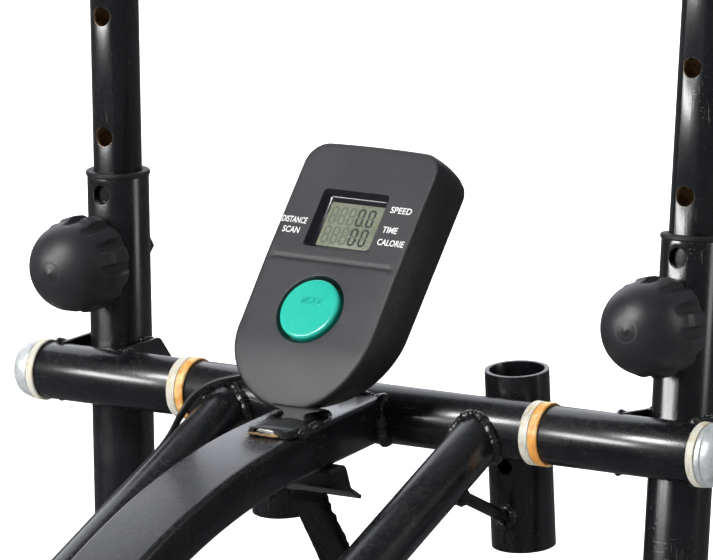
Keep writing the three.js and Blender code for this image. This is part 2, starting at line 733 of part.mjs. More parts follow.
function crank(side) {
  const s = sideSign[side];
  const pin = crankPin[side];
  const way = pin.clone().sub(axle);
  const bar = block([CRANK_IN, -13, 0], [CRANK_OUT, 13, CRANK_RADIUS])
    .rotate([(-Math.atan2(way.x, way.y) * 180) / Math.PI, 0, 0])
    .translate([s > 0 ? 0 : -CRANK_IN - CRANK_OUT, axle.x, axle.y]);
  const hub = rodX(s * CRANK_IN, s * CRANK_OUT, axle.x, axle.y, 21);
  const end = rodX(s * CRANK_IN, s * CRANK_OUT, pin.x, pin.y, 17);
  const boss = rodX(s * (CRANK_OUT - 1), s * CRANK_PIN_OUT, pin.x, pin.y, 12);
  return join(bar, hub, end, boss);
}

// The axle with a crank pressed on each end
function crankset() {
  const bar = rodX(-CRANK_OUT - 3, CRANK_OUT + 3, axle.x, axle.y, AXLE_RADIUS);
  return join(bar, crank("left"), crank("right"));
}

place(frame, "flywheel", flywheel(), CAST_IRON);
place(frame, "crankset", crankset(), BLACK_PAINT);

// Friction brake under the flywheel: a block on the floor beam with a curved shoe, and its screw knob
function brakeBlock() {
  const top = axle.y - FLYWHEEL_RADIUS + 20;
  const body = block([-18, axle.x - 45, FLOOR_BEAM_TOP + GAP], [18, axle.x + 45, top]);
  const wheel = rodX(-60, 60, axle.x, axle.y, FLYWHEEL_RADIUS + 1.5, 64);
  return cut(body, wheel);
}

const brakeKnobZ = FLOOR_BEAM_TOP + 30;
function resistanceKnob() {
  const front = axle.x + 45 + GAP;
  const profile = [[0, 0], [0, 20], [14, 22], [18, 18], [18, 0]];
  const notches = Array.from({ length: 6 }, (_, i) => {
    const turn = (Math.PI * i) / 3;
    return rodX(-1, 20, 24 * Math.cos(turn), 24 * Math.sin(turn), 6, 6);
  });
  return cut(turnedX(profile), ...notches)
    .rotate([0, 0, 90])
    .translate([0, front, brakeKnobZ]);
}

place(frame, "brake_block", brakeBlock(), BLACK_PLASTIC);
place(frame, "resistance_knob", resistanceKnob(), KNOB_PLASTIC);

// ---------- foot rails ----------
// Drawn level with the front pivot at the origin, the rail running back along -Y
function footRail(side, length) {
  const s = sideSign[side];
  const x = s * RAIL_X;
  const route = new Route(x, [0, 0], 180, [{ run: length }]);
  const inner = roundedBox(RAIL_HALF - 2, RAIL_HEIGHT / 2 - 2, 2);
  const bar = sweep(roundedBox(RAIL_HALF, RAIL_HEIGHT / 2, 4), route, inner);
  const front = rodX(x - RAIL_HALF, x + RAIL_HALF, 0, 0, EYE_RADIUS);
  const rear = rodX(s * (CRANK_PIN_OUT + 2.3), s * (RAIL_X + RAIL_HALF), -length, 0, EYE_RADIUS);
  const bore = rodX(-300, 300, 0, 0, PIVOT_BOLT_RADIUS + GAP, 16);
  const drain = rod([x, -length / 2, -RAIL_HEIGHT], [x, -length / 2, 0], 4, SMALL_SIDES);
  return cut(join(bar, front, rear), bore, drain);
}

function footPlate(side) {
  const s = sideSign[side];
  const x = s * PLATE_X;
  const base = RAIL_HEIGHT / 2 + GAP;
  const middle = (PLATE_FRONT + PLATE_REAR) / 2;
  const halfLength = (PLATE_FRONT - PLATE_REAR) / 2;
  const outline = roundedBox(PLATE_HALF, halfLength, 30, 4);
  const floor = extrude(outline, 9).translate(x, middle, base);
  const inner = roundedBox(PLATE_HALF - 5, halfLength - 5, 25, 4);
  const rim = extrude(outline, 26, inner).translate(x, middle, base);
  const heelGap = block([-400, PLATE_REAR - OVERSHOOT, base + 12], [400, PLATE_REAR + 90, base + 60]);
  return cut(join(solid(floor), solid(rim)), heelGap);
}

function pivotBolt(side) {
  const s = sideSign[side];
  const inner = RAIL_X - RAIL_HALF - GAP;
  const outer = ARM_X + 21 + GAP;
  const shank = rodX(s * (inner - 2), s * (outer + 2), 0, 0, PIVOT_BOLT_RADIUS, 16);
  const head = rodX(s * outer, s * (outer + 8), 0, 0, 13, 6);
  const nut = rodX(s * inner, s * (inner - 8), 0, 0, 13, 6);
  return join(shank, head, nut);
}

for (const side of sides) {
  const reach = crankPin[side].clone().sub(lowerPivot[side]);
  const rail = new THREE.Group();
  rail.position.set(0, lowerPivot[side].x, lowerPivot[side].y);
  rail.rotation.x = -Math.atan2(reach.y, -reach.x);
  frame.add(rail);
  place(rail, side + "_foot_rail", footRail(side, reach.length()), BLACK_PAINT);
  place(rail, side + "_foot_plate", footPlate(side), BLACK_PLASTIC);
  place(rail, side + "_pivot_bolt", pivotBolt(side), ZINC);
}

// ---------- console ----------
// The outline has rounded top corners and a half-round lower end. "inset" shrinks it all round.
function consoleOutline(inset, roundCentre = CONSOLE_ROUND_CENTRE) {
  const half = CONSOLE_HALF - inset;
  const top = CONSOLE_TOP - inset;
  const corner = CONSOLE_CORNER - inset;
  return [
    ...arc(CONSOLE_CENTRE, roundCentre, half, 180, 360, 16),
    ...arc(CONSOLE_CENTRE + half - corner, top - corner, corner, 0, 90, 4),
    ...arc(CONSOLE_CENTRE - half + corner, top - corner, corner, 90, 180, 4),
  ];
}

const layer = (points, from, to) => solid(extrude(points, to - from).translate(0, 0, from));
const panel = ([width, height], grow, from, to) =>
  block([-width / 2 - grow, -height / 2 - grow, from], [width / 2 + grow, height / 2 + grow, to]);

// The front case's lower end steps up towards the back, to clear the beam.
function consoleFrontCase() {
  const steps = CHIN_STEPS.map(([lift, top, bottom]) =>
    layer(consoleOutline(0, CONSOLE_ROUND_CENTRE + lift), bottom, top),
  );
  const [backLift] = CHIN_STEPS.at(-1);
  const inside = consoleOutline(CONSOLE_WALL, CONSOLE_ROUND_CENTRE + backLift);
  const hollow = layer(inside, -CONSOLE_FRONT_DEPTH - OVERSHOOT, -6);
  const recess = panel(LCD_WINDOW, 0, -3.5, OVERSHOOT).translate([-1.4, 1.7, 0]);
  const window = panel(LCD_GLASS, 0.4, -20, OVERSHOOT);
  const button = rod([...BUTTON_AT, -20], [...BUTTON_AT, OVERSHOOT], BUTTON_RADIUS + 0.5, 32);
  return cut(join(...steps), hollow, recess, window, button);
}

// The back case steps in at its waist, and its lower end is cut short to clear the beam.
function consoleBackCase() {
  const waist = -CONSOLE_FRONT_DEPTH - GAP;
  const upper = layer(consoleOutline(1, CONSOLE_ROUND_CENTRE + 9), CONSOLE_WAIST, waist);
  const lower = layer(consoleOutline(4, CONSOLE_ROUND_CENTRE + 14), CONSOLE_BACK, CONSOLE_WAIST + 0.5);
  const inside = consoleOutline(6.5, CONSOLE_ROUND_CENTRE + 14);
  const hollow = layer(inside, CONSOLE_BACK + CONSOLE_WALL, OVERSHOOT);
  return cut(join(upper, lower), hollow);
}

const consoleGroup = new THREE.Group();
consoleGroup.position.set(...CONSOLE_AT);
consoleGroup.rotation.set(rad(CONSOLE_FACE_RISE), 0, rad(CONSOLE_YAW), "ZXY");
frame.add(consoleGroup);
place(consoleGroup, "console_front_case", consoleFrontCase(), GREY_PLASTIC);
place(consoleGroup, "console_back_case", consoleBackCase(), GREY_PLASTIC);
place(consoleGroup, "lcd_panel", panel(LCD_GLASS, 0, -8, -4), DISPLAY);
place(consoleGroup, "circuit_board", block([-40, -92, -10.4], [40, 34, -8.9]), BOARD);
const buttonProfile = [[-7, 0], [-7, BUTTON_RADIUS], [2, BUTTON_RADIUS], [3.4, BUTTON_RADIUS - 3], [4, 0]];
const button = turnedX(buttonProfile, 32).rotate([0, -90, 0]).translate([...BUTTON_AT, 0]);
place(consoleGroup, "mode_button", button, TURQUOISE);

// Bracket on the main beam: a plate along the beam's top and a flared upright under the console
const STEM_X = 9;
function consoleMountPlate() {
  const lift = BEAM_HEIGHT / 2 + GAP;
  const slope = Math.tan(rad(BEAM_DIP));
  const top = (y) => (y + CROSS_RADIUS) * slope + lift;
  const outline = [
    [-124, top(-124) - 0.6],
    [-74, top(-74)],
    [-74, top(-74) + 3],
    [-124, top(-124) + 2.4],
  ];
  const slot = block([STEM_X - 6, -130, -20], [STEM_X + 4, -113, 40]);
  return cut(plateX(outline, STEM_X - 17, STEM_X + 15), slot);
}

function consoleStem() {
  const side = plateX([[-103, 12], [-92, 12.8], [-91.8, 17], [-99.2, 22.8]], -40, 60);
  const half = [[8, 0], [9, 3], [24, 8], [24, 30]];
  const mirrored = half.map(([x, z]) => [-x, z]).reverse();
  const flare = extrude([...half, ...mirrored].map(([x, z]) => new THREE.Vector2(x, z)), 60);
  flare.rotateX(Math.PI / 2).translate(STEM_X, -60, 11.5);
  return side.intersect(solid(flare));
}

place(frame, "console_mount_plate", consoleMountPlate(), BLACK_PAINT);
place(frame, "console_stem", consoleStem(), BLACK_PLASTIC);

// Hook of bent plate under the main beam, with the storage strap that hangs from it
function strapHook() {
  const profile = [
    [-84, -21],
    [-68, -19.8],
    [-63, -36],
    [-50, -44],
    [-52, -47.5],
    [-66, -39],
    [-71, -23],
    [-84, -24],
  ];
  return plateX(profile, -28, 28);
}

function storageStrap() {
  const route = new Route(0, [-66.6, -44], 270 + 35, [
    { run: 70 },
    { turn: -35, radius: 90, steps: 5 },
    { run: 150 },
  ]);
  return sweep(roundedBox(12.5, 4.5, 2), route);
}

place(frame, "strap_hook", strapHook(), BLACK_PAINT);
place(frame, "storage_strap", storageStrap(), WEBBING);

// Sensor lead from the console, round the cross tube and along the left side tube to the speed sensor
const LEAD_RADIUS = 2.2;
const leadOffset = SIDE_RADIUS + LEAD_RADIUS + 3;
const LEAD_END = 0.45; // share of the tubes' last straight: the sensor stays outside the crank's sweep
function sensorLead() {
  const route = sideRoute(-SIDE_X - leadOffset);
  const along = route.stations.slice(1);
  const start = route.stations[0];
  const onTube = (share) => start.clone().lerp(along[0], share);
  const points = [
    new THREE.Vector3(-30, -40.6, 41.3),
    new THREE.Vector3(-33, -34, 35.6),
    new THREE.Vector3(-52, -25.5, 26),
    new THREE.Vector3(-75, -21.5, 19),
    new THREE.Vector3(-99, -26.5, 12),
    new THREE.Vector3(-114, -28, 1.5),
    new THREE.Vector3(-122, -32, -12),
    onTube(0.15),
    onTube(0.3),
    onTube(0.65),
    ...along.slice(0, -1),
    along[along.length - 2].clone().lerp(along[along.length - 1], LEAD_END / 2),
    along[along.length - 2].clone().lerp(along[along.length - 1], LEAD_END),
  ];
  const curve = new THREE.CatmullRomCurve3(points, false, "centripetal");
  curve.steps = 36;
  return sweep(circle(LEAD_RADIUS, SMALL_SIDES), curve);
}

function speedSensor() {
  const route = sideRoute(-SIDE_X - leadOffset);
  const [from, to] = route.stations.slice(-2);
  const at = from.clone().lerp(to, LEAD_END);
  const box = block([-8, -14, -9], [8, 14, 9])
    .rotate([SIDE_DIP + SIDE_BEND_TURN, 0, 0])
    .translate(at.clone().add(new THREE.Vector3(0, -13, -8.5)).toArray());
  const lead = rod(at.toArray(), from.toArray(), LEAD_RADIUS + 2 * GAP, 8);
  const tube = sweep(circle(SIDE_RADIUS + GAP, 16), sideRoute(-SIDE_X));
  return cut(box, lead, tube);
}

place(frame, "sensor_lead", sensorLead(), BLACK_PLASTIC);
place(frame, "speed_sensor", speedSensor(), BLACK_PLASTIC);

// ---------- the machine's own frame ----------
// Origin on the floor, under the middle of the machine's length and width
const frontReach = carryWheelY + CARRY_WHEEL_RADIUS;
const rearReach = FLYWHEEL_RADIUS - axle.x;
frame.position.set(0, (rearReach - frontReach) / 2, PIVOT_HEIGHT);

export default machine;
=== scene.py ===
import json
import math
import random

import bmesh
import bpy
from mathutils import geometry, Matrix, noise, Vector


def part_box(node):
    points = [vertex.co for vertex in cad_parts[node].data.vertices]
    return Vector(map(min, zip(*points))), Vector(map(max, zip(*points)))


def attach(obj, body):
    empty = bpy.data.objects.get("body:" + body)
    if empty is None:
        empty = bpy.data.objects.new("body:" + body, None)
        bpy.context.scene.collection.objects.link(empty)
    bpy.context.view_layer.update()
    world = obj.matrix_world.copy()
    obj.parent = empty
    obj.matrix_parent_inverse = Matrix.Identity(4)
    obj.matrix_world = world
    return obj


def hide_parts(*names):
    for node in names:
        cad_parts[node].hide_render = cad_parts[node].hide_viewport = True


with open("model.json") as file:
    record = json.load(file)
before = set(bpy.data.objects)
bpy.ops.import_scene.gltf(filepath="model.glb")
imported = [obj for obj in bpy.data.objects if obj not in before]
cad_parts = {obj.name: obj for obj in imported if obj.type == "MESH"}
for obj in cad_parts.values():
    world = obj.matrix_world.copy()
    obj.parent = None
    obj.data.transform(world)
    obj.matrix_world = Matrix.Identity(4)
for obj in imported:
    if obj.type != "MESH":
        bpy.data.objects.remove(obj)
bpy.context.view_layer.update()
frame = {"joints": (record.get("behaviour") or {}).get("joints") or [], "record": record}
noise.seed_set(1)  # without it noise_vector is seeded from the clock

# Lengths are millimetres from the middle of the cross tube, until piece() puts a mesh in the row's frame.
JOINTS = {j["name"]: j for j in frame["joints"]}
PIVOT = Vector(JOINTS["left_arm_swing"]["pos_m"])
TO_ROW = Matrix.Translation(PIVOT) @ Matrix.Scale(0.001, 4)
SIDES = {"left": -1, "right": 1}
X_AXIS = Vector((1, 0, 0))


def local(point):
    """A point of the row's frame, in millimetres from the middle of the cross tube."""
    return (Vector(point) - PIVOT) * 1000


def local_box(node):
    low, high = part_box(node)
    return local(low), local(high)


def height_on(joint):
    return local(JOINTS[joint]["pos_m"])


FLOOR_Z = -1000 * PIVOT.z
AXLE = height_on("crank_spin")
SWING = {}
for side in SIDES:
    up = JOINTS[side + "_handlebar_height"]["axis"]
    SWING[side] = math.atan2(up[1], up[2])
ARM_FRAME = {side: Matrix.Rotation(-SWING[side], 4, "X") for side in SIDES}

# Sizes that the frame's boxes don't state
CROSS_RADIUS = 19.05
SIDE_X = 94.6
SIDE_RADIUS = 16.4
ARM_X = 215.6
ARM_FORWARD = 36.8
ARM_RADIUS = 20.7
HANDLEBAR_RADIUS = 16.25
SLEEVE = (138.3, 251.3)
HOLE_PITCH = 81
HOLE_RADIUS = 6.6
SIGHT_HEIGHT = 119.3
KNOB_HEIGHT = 77
SIDE_DIP = 23.2  # degrees below level, at the cross tube
SIDE_BEND = 9
SIDE_END_DIP = math.radians(SIDE_DIP + SIDE_BEND)  # at the axle
SOCKET_X = 93
SOCKET_LEAN = 4.86
CRANK_REACH = 115
RAIL_X = 172
FOOT_PLATE_X = 184
TIE_BAR = (-494, -207)  # y and z

# ---------- camera ----------
camera = bpy.data.objects.new("camera", bpy.data.cameras.new("camera"))
camera.data.lens = 293.92
camera.data.sensor_width = 36
camera.data.clip_end = 200
camera.location = (1.97352, -2.80161, 1.47412)
camera.rotation_euler = (math.radians(79.444), 0, math.radians(32.379))
bpy.context.scene.collection.objects.link(camera)
bpy.context.scene.camera = camera


# ---------- materials ----------
class Look:
    """A procedural material: each method adds nodes and returns the socket that holds the result."""

    def __init__(self, name, **fixed):
        self.material = bpy.data.materials.new(name)
        self.material.use_nodes = True
        self.tree = self.material.node_tree
        self.shader = self.tree.nodes["Principled BSDF"]
        for socket, value in fixed.items():
            self.shader.inputs[socket.replace("_", " ")].default_value = value
        coordinates = self.tree.nodes.new("ShaderNodeTexCoord")
        self.place = coordinates.outputs["Object"]
        self.geometry = self.tree.nodes.new("ShaderNodeNewGeometry")

    def node(self, kind, **inputs):
        made = self.tree.nodes.new(kind)
        for name, value in inputs.items():
            self.put(made.inputs[name.replace("_", " ")], value)
        return made

    def put(self, socket, value):
        if isinstance(value, bpy.types.NodeSocket):
            self.tree.links.new(value, socket)
        else:
            socket.default_value = value

    def noise(self, per_metre, detail=3, stretch=None, roughness=0.5):
        where = self.place
        if stretch:
            where = self.node("ShaderNodeMapping", Vector=where, Scale=stretch).outputs[0]
        made = self.node("ShaderNodeTexNoise", Vector=where, Scale=per_metre, Detail=detail,
                         Roughness=roughness)
        return made.outputs["Fac"]

    def cells(self, per_metre):
        return self.node("ShaderNodeTexVoronoi", Vector=self.place, Scale=per_metre).outputs["Distance"]

    def above(self, value, low, high, to_low=0.0, to_high=1.0):
        made = self.node("ShaderNodeMapRange", Value=value)
        made.inputs["From Min"].default_value = low
        made.inputs["From Max"].default_value = high
        made.inputs["To Min"].default_value = to_low
        made.inputs["To Max"].default_value = to_high
        return made.outputs[0]

    def sum(self, kind, a, b):
        made = self.tree.nodes.new("ShaderNodeMath")
        made.operation = kind
        self.put(made.inputs[0], a)
        self.put(made.inputs[1], b)
        return made.outputs[0]

    def blend(self, amount, a, b):
        made = self.tree.nodes.new("ShaderNodeMix")
        made.data_type = "RGBA"
        self.put(made.inputs[0], amount)
        self.put(made.inputs[6], (*a, 1) if isinstance(a, tuple) else a)
        self.put(made.inputs[7], (*b, 1) if isinstance(b, tuple) else b)
        return made.outputs[2]

    def edges(self, radius):
        """High along worn corners, from how far a rounded normal leans away from the true one."""
        rounded = self.tree.nodes.new("ShaderNodeBevel")
        rounded.samples = 4
        rounded.inputs["Radius"].default_value = radius
        dot = self.tree.nodes.new("ShaderNodeVectorMath")
        dot.operation = "DOT_PRODUCT"
        self.put(dot.inputs[0], rounded.outputs[0])
        self.put(dot.inputs[1], self.geometry.outputs["Normal"])
        return self.above(dot.outputs["Value"], 0.97, 0.80)

    def upward(self):
        split = self.node("ShaderNodeSeparateXYZ", Vector=self.geometry.outputs["Normal"])
        return self.above(split.outputs["Z"], 0.2, 0.95)

    def bump(self, height, distance, strength=1.0):
        made = self.node("ShaderNodeBump", Height=height, Distance=distance, Strength=strength)
        before = self.shader.inputs["Normal"]
        if before.is_linked:
            self.put(made.inputs["Normal"], before.links[0].from_socket)
        self.put(before, made.outputs[0])

    def finish(self, colour=None, roughness=None, metallic=None):
        for socket, value in (("Base Color", colour), ("Roughness", roughness), ("Metallic", metallic)):
            if value is not None:
                self.put(self.shader.inputs[socket], value)
        return self.material


def paint(name, dust=0.35, wear=0.5, grain=0.35):
    """Gloss black paint over steel: orange peel, dust on top, fine scratches, paint gone from the corners."""
    look = Look(name, Coat_Weight=0.25, Coat_Roughness=0.12, Specular_IOR_Level=0.5)
    blotch = look.noise(22, 5)
    fine = look.noise(900, 2)
    specks = look.above(look.noise(620, 2, roughness=0.7), 0.64, 0.72)
    along = look.above(look.noise(1, 2, (900, 900, 14)), 0.66, 0.70)
    across = look.above(look.noise(1, 2, (16, 900, 900)), 0.67, 0.71)
    patches = look.above(look.noise(38, 3), 0.56, 0.70)
    scratches = look.sum("MULTIPLY", look.sum("MAXIMUM", along, across), patches)
    settled = look.sum("MULTIPLY", look.upward(), look.above(look.noise(240, 6, roughness=0.65), 0.46,
                                                             0.80))
    bare = look.sum("MULTIPLY", look.edges(0.0011), look.above(look.noise(210, 4), 0.46, 0.60))
    colour = look.blend(look.above(blotch, 0.35, 0.7), (0.0040, 0.0044, 0.0055), (0.0075, 0.0078, 0.0090))
    colour = look.blend(look.sum("MULTIPLY", settled, dust * 0.6), colour, (0.085, 0.080, 0.074))
    colour = look.blend(look.sum("MULTIPLY", specks, dust * 0.45), colour, (0.20, 0.19, 0.17))
    colour = look.blend(look.sum("MULTIPLY", scratches, 0.35), colour, (0.16, 0.155, 0.15))
    colour = look.blend(look.sum("MULTIPLY", bare, wear), colour, (0.22, 0.20, 0.17))
    rough = look.above(blotch, 0.3, 0.75, 0.20, 0.34)
    rough = look.sum("ADD", rough, look.sum("MULTIPLY", look.sum("MAXIMUM", settled, scratches), 0.10))
    look.bump(fine, 0.00002 + 0.00006 * grain)
    look.bump(look.sum("MULTIPLY", scratches, -1.0), 0.00004)
    return look.finish(colour, rough)


def weld_paint():
    look = Look("weld_paint", Coat_Weight=0.4, Coat_Roughness=0.1)
    pits = look.noise(420, 4)
    grime = look.above(look.noise(160, 4), 0.50, 0.70)
    colour = look.blend(look.sum("MULTIPLY", grime, 0.5), (0.008, 0.008, 0.009), (0.060, 0.050, 0.038))
    look.bump(pits, 0.0005)
    return look.finish(colour, look.above(pits, 0.3, 0.7, 0.18, 0.42))


def metal(name, dull, bright, rough=(0.28, 0.5), streak=(30, 900, 900), grime=0.3, **fixed):
    look = Look(name, **{"Metallic": 0.92, **fixed})
    brushed = look.noise(1, 3, streak)
    cloud = look.noise(120, 5)
    colour = look.blend(look.above(cloud, 0.35, 0.65), dull, bright)
    stain = look.above(look.noise(260, 4), 0.58, 0.70)
    colour = look.blend(look.sum("MULTIPLY", stain, grime), colour, tuple(0.35 * c for c in dull))
    look.bump(brushed, 0.00003)
    look.bump(cloud, 0.0002)
    return look.finish(colour, look.above(brushed, 0.3, 0.7, *rough))


def rust():
    look = Look("inner_rust")
    cloud = look.noise(300, 5)
    colour = look.blend(look.above(cloud, 0.3, 0.7), (0.09, 0.045, 0.018), (0.33, 0.21, 0.09))
    look.bump(cloud, 0.0004)
    return look.finish(colour, look.above(cloud, 0.3, 0.7, 0.6, 0.9))


def plastic(name, dark, light, rough=0.45, texture=0.00008, per_metre=2300, scuffs=0.3, **fixed):
    """Moulded plastic with a fine spark-eroded texture, faint mottling, scuffs and dust."""
    look = Look(name, **fixed)
    grain = look.noise(per_metre, 2)
    cloud = look.noise(26, 4)
    marks = look.sum("MULTIPLY", look.above(look.noise(1, 2, (700, 60, 700)), 0.66, 0.72),
                     look.above(look.noise(30, 3), 0.5, 0.62))
    specks = look.above(look.noise(1500, 1), 0.74, 0.80)
    colour = look.blend(look.above(cloud, 0.3, 0.7), dark, light)
    colour = look.blend(look.sum("MULTIPLY", look.sum("MAXIMUM", marks, specks), scuffs), colour,
                        tuple(min(1, 3 * c + 0.03) for c in light))
    colour = look.blend(look.sum("MULTIPLY", look.edges(0.0007), scuffs * 0.35), colour,
                        tuple(min(1, 2 * c + 0.02) for c in light))
    look.bump(grain, texture)
    return look.finish(colour, look.above(cloud, 0.3, 0.7, rough - 0.05, rough + 0.07))


def nylon(name, clean, stained, amount):
    look = Look(name, Subsurface_Weight=0.15, Subsurface_Scale=0.002)
    cloud = look.noise(140, 5)
    grime = look.above(look.noise(1, 4, (500, 90, 90)), 0.56, 0.74)
    colour = look.blend(look.above(cloud, amount[0], amount[1]), clean, stained)
    colour = look.blend(look.sum("MULTIPLY", grime, 0.75), colour, (0.10, 0.06, 0.025))
    look.bump(look.noise(700, 3), 0.00008)
    return look.finish(colour, look.above(cloud, 0.3, 0.7, 0.35, 0.55))


def foam():
    look = Look("grip_foam", Sheen_Weight=0.3, Sheen_Roughness=0.6)
    pores = look.cells(1400)
    colour = look.blend(look.above(pores, 0.1, 0.6), (0.008, 0.008, 0.009), (0.028, 0.028, 0.029))
    look.bump(pores, 0.0005)
    look.bump(look.noise(120, 4), 0.0006)
    return look.finish(colour, 0.92)


def webbing():
    look = Look("strap_webbing", Specular_IOR_Level=0.15)
    fuzz = look.noise(1500, 4, roughness=0.75)
    lint = look.above(look.noise(900, 3, roughness=0.8), 0.66, 0.74)
    colour = look.blend(fuzz, (0.002, 0.002, 0.0022), (0.012, 0.0115, 0.0115))
    colour = look.blend(look.sum("MULTIPLY", lint, 0.35), colour, (0.14, 0.13, 0.12))
    look.bump(fuzz, 0.0012)
    return look.finish(colour, 0.95)


def cast_iron():
    look = Look("flywheel_iron", Metallic=0.3, Coat_Weight=0.2)
    sand = look.noise(520, 4)
    colour = look.blend(look.above(look.noise(30, 4), 0.3, 0.7), (0.016, 0.016, 0.018),
                        (0.035, 0.034, 0.034))
    colour = look.blend(look.sum("MULTIPLY", look.edges(0.002), 0.5), colour, (0.20, 0.19, 0.18))
    look.bump(sand, 0.0006)
    return look.finish(colour, look.above(sand, 0.3, 0.7, 0.42, 0.62))


def display_glass():
    look = Look("display_glass", Coat_Weight=0.6, Coat_Roughness=0.04, Specular_IOR_Level=0.5)
    cloud = look.noise(60, 3)
    colour = look.blend(look.above(cloud, 0.35, 0.65), (0.150, 0.165, 0.118), (0.182, 0.197, 0.142))
    look.bump(look.noise(1600, 1), 0.000004)
    return look.finish(colour, look.above(look.noise(400, 3), 0.3, 0.7, 0.22, 0.34))


def flat_ink(name, colour, rough=0.5):
    look = Look(name)
    worn = look.above(look.noise(1500, 3), 0.30, 0.70)
    return look.finish(look.blend(worn, tuple(0.82 * c for c in colour), colour), rough)


PAINT = paint("black_paint")
PAINT_FLAT = paint("beam_paint", dust=0.5, wear=0.8)
PAINT_DULL = paint("arm_paint", dust=0.25, wear=0.45, grain=0.8)
WELD = weld_paint()
STEEL = metal("ground_steel", (0.34, 0.34, 0.33), (0.50, 0.50, 0.48))
WORN_RIM = metal("worn_rim", (0.22, 0.21, 0.19), (0.50, 0.48, 0.44), rough=(0.25, 0.45), grime=0.6)
BARE = metal("bare_plate", (0.42, 0.42, 0.41), (0.72, 0.72, 0.70), rough=(0.3, 0.5), grime=0.5)
ZINC = metal("zinc_plate", (0.50, 0.53, 0.54), (0.66, 0.69, 0.69), rough=(0.34, 0.52), grime=0.25,
             Metallic=0.55)
RUST = rust()
CONSOLE = plastic("console_plastic", (0.0205, 0.0205, 0.0230), (0.0250, 0.0250, 0.0275), rough=0.40,
                  texture=0.00020)
# The case plastic again with a coarser grain, made darker for the side walls, the chin's steep underside and
# the back shell: the darkness is painted shade
CONSOLE_SHADED_SIDE = plastic("console_side_painted_shade", (0.0060, 0.0060, 0.0075), (0.0095, 0.0095, 0.0110), rough=0.36,
                       texture=0.00040,
                       per_metre=1700)
RECESS = plastic("recess_gloss", (0.006, 0.006, 0.008), (0.012, 0.012, 0.015), rough=0.14, texture=0.00001,
                 scuffs=0.1)
KNOB = plastic("knob_plastic", (0.0125, 0.0125, 0.0145), (0.0190, 0.0190, 0.0210), rough=0.40,
               texture=0.00010)
BLACK = plastic("black_plastic", (0.004, 0.004, 0.0045), (0.009, 0.009, 0.010), rough=0.5, texture=0.00015)
TREAD = plastic("tread_plastic", (0.014, 0.014, 0.015), (0.030, 0.030, 0.031), rough=0.62, texture=0.0003,
                per_metre=1100, scuffs=0.5)
JACKET = plastic("lead_jacket", (0.010, 0.010, 0.011), (0.020, 0.020, 0.021), rough=0.36, texture=0.00004)
CREAM = nylon("cream_nylon", (0.52, 0.51, 0.44), (0.48, 0.38, 0.20), (0.50, 0.74))
AGED = nylon("aged_nylon", (0.66, 0.50, 0.22), (0.62, 0.27, 0.045), (0.32, 0.56))
FOAM = foam()
STRAP = webbing()
IRON = cast_iron()
GLASS = display_glass()
DIGIT = flat_ink("digit_ink", (0.030, 0.042, 0.036), 0.35)
GHOST = flat_ink("ghost_ink", (0.118, 0.130, 0.094), 0.35)
LABEL = flat_ink("label_ink", (0.80, 0.80, 0.80), 0.55)
BOARD = plastic("board_lacquer", (0.02, 0.10, 0.04), (0.04, 0.17, 0.06), rough=0.3)
BUTTON = plastic("button_plastic", (0.011, 0.36, 0.27), (0.016, 0.41, 0.31), rough=0.24, texture=0.00001,
                 scuffs=0.04, Coat_Weight=0.3, Coat_Roughness=0.08)


# ---------- meshes ----------
def loft(rings, loop=False):
    """A closed skin through rings of points. A loop joins the last ring to the first, for a hollow piece."""
    made = bmesh.new()
    rows = [[made.verts.new(p) for p in ring] for ring in rings]
    for a, b in zip(rows, rows[1:] + rows[:1] if loop else rows[1:]):
        for i in range(len(a)):
            j = (i + 1) % len(a)
            made.faces.new((a[i], a[j], b[j], b[i]))
    if not loop:
        made.faces.new(rows[0][::-1])
        made.faces.new(rows[-1])
    bmesh.ops.recalc_face_normals(made, faces=made.faces)
    return made


def square_to(axis):
    axis = Vector(axis).normalized()
    helper = Vector((0, 0, 1)) if abs(axis.z) < 0.9 else Vector((1, 0, 0))
    u = helper.cross(axis).normalized()
    return u, axis.cross(u)


def turned(start, axis, profile, sides=72, loop=False, shape=None):
    """A body of revolution from [along, radius] points. shape(turn, along) scales a ring's radius."""
    axis = Vector(axis).normalized()
    u, v = square_to(axis)
    rings = []
    for along, radius in profile:
        ring = []
        for turn in turns(sides):
            r = radius * (shape(turn, along) if shape else 1)
            ring.append(Vector(start) + axis * along + (u * math.cos(turn) + v * math.sin(turn)) * r)
        rings.append(ring)
    return loft(rings, loop)


def soften(points, radius, steps=3, closed=True):
    """An outline with each corner rounded by up to radius."""
    points = [Vector(p) for p in points]
    out = []
    count = len(points)
    for i, p in enumerate(points):
        if not closed and i in (0, count - 1):
            out.append(p)
            continue
        before = points[i - 1] - p
        after = points[(i + 1) % count] - p
        a = p + before.normalized() * min(radius, before.length * 0.45)
        b = p + after.normalized() * min(radius, after.length * 0.45)
        for k in range(steps + 1):
            t = k / steps
            out.append(a * (1 - t) ** 2 + p * 2 * t * (1 - t) + b * t * t)
    return out


def rod(a, b, radius, sides=48):
    way = Vector(b) - Vector(a)
    return turned(a, way, [(0, radius), (way.length, radius)], sides)


def pipe(a, b, radius, bore, sides=72):
    way = Vector(b) - Vector(a)
    end = way.length
    return turned(a, way, [(0, radius), (end, radius), (end, bore), (0, bore)], sides, loop=True)


def turns(count):
    """Evenly spaced angles, once round."""
    return [math.tau * i / count for i in range(count)]


def circle(radius, sides=64):
    return [(radius * math.cos(t), radius * math.sin(t)) for t in turns(sides)]


def rounded_box(half_width, half_height, corner, steps=6):
    out = []
    for quarter, (sx, sy) in enumerate(((1, 1), (-1, 1), (-1, -1), (1, -1))):
        for k in range(steps + 1):
            turn = math.radians(90 * quarter + 90 * k / steps)
            out.append((sx * (half_width - corner) + corner * math.cos(turn),
                        sy * (half_height - corner) + corner * math.sin(turn)))
    return out


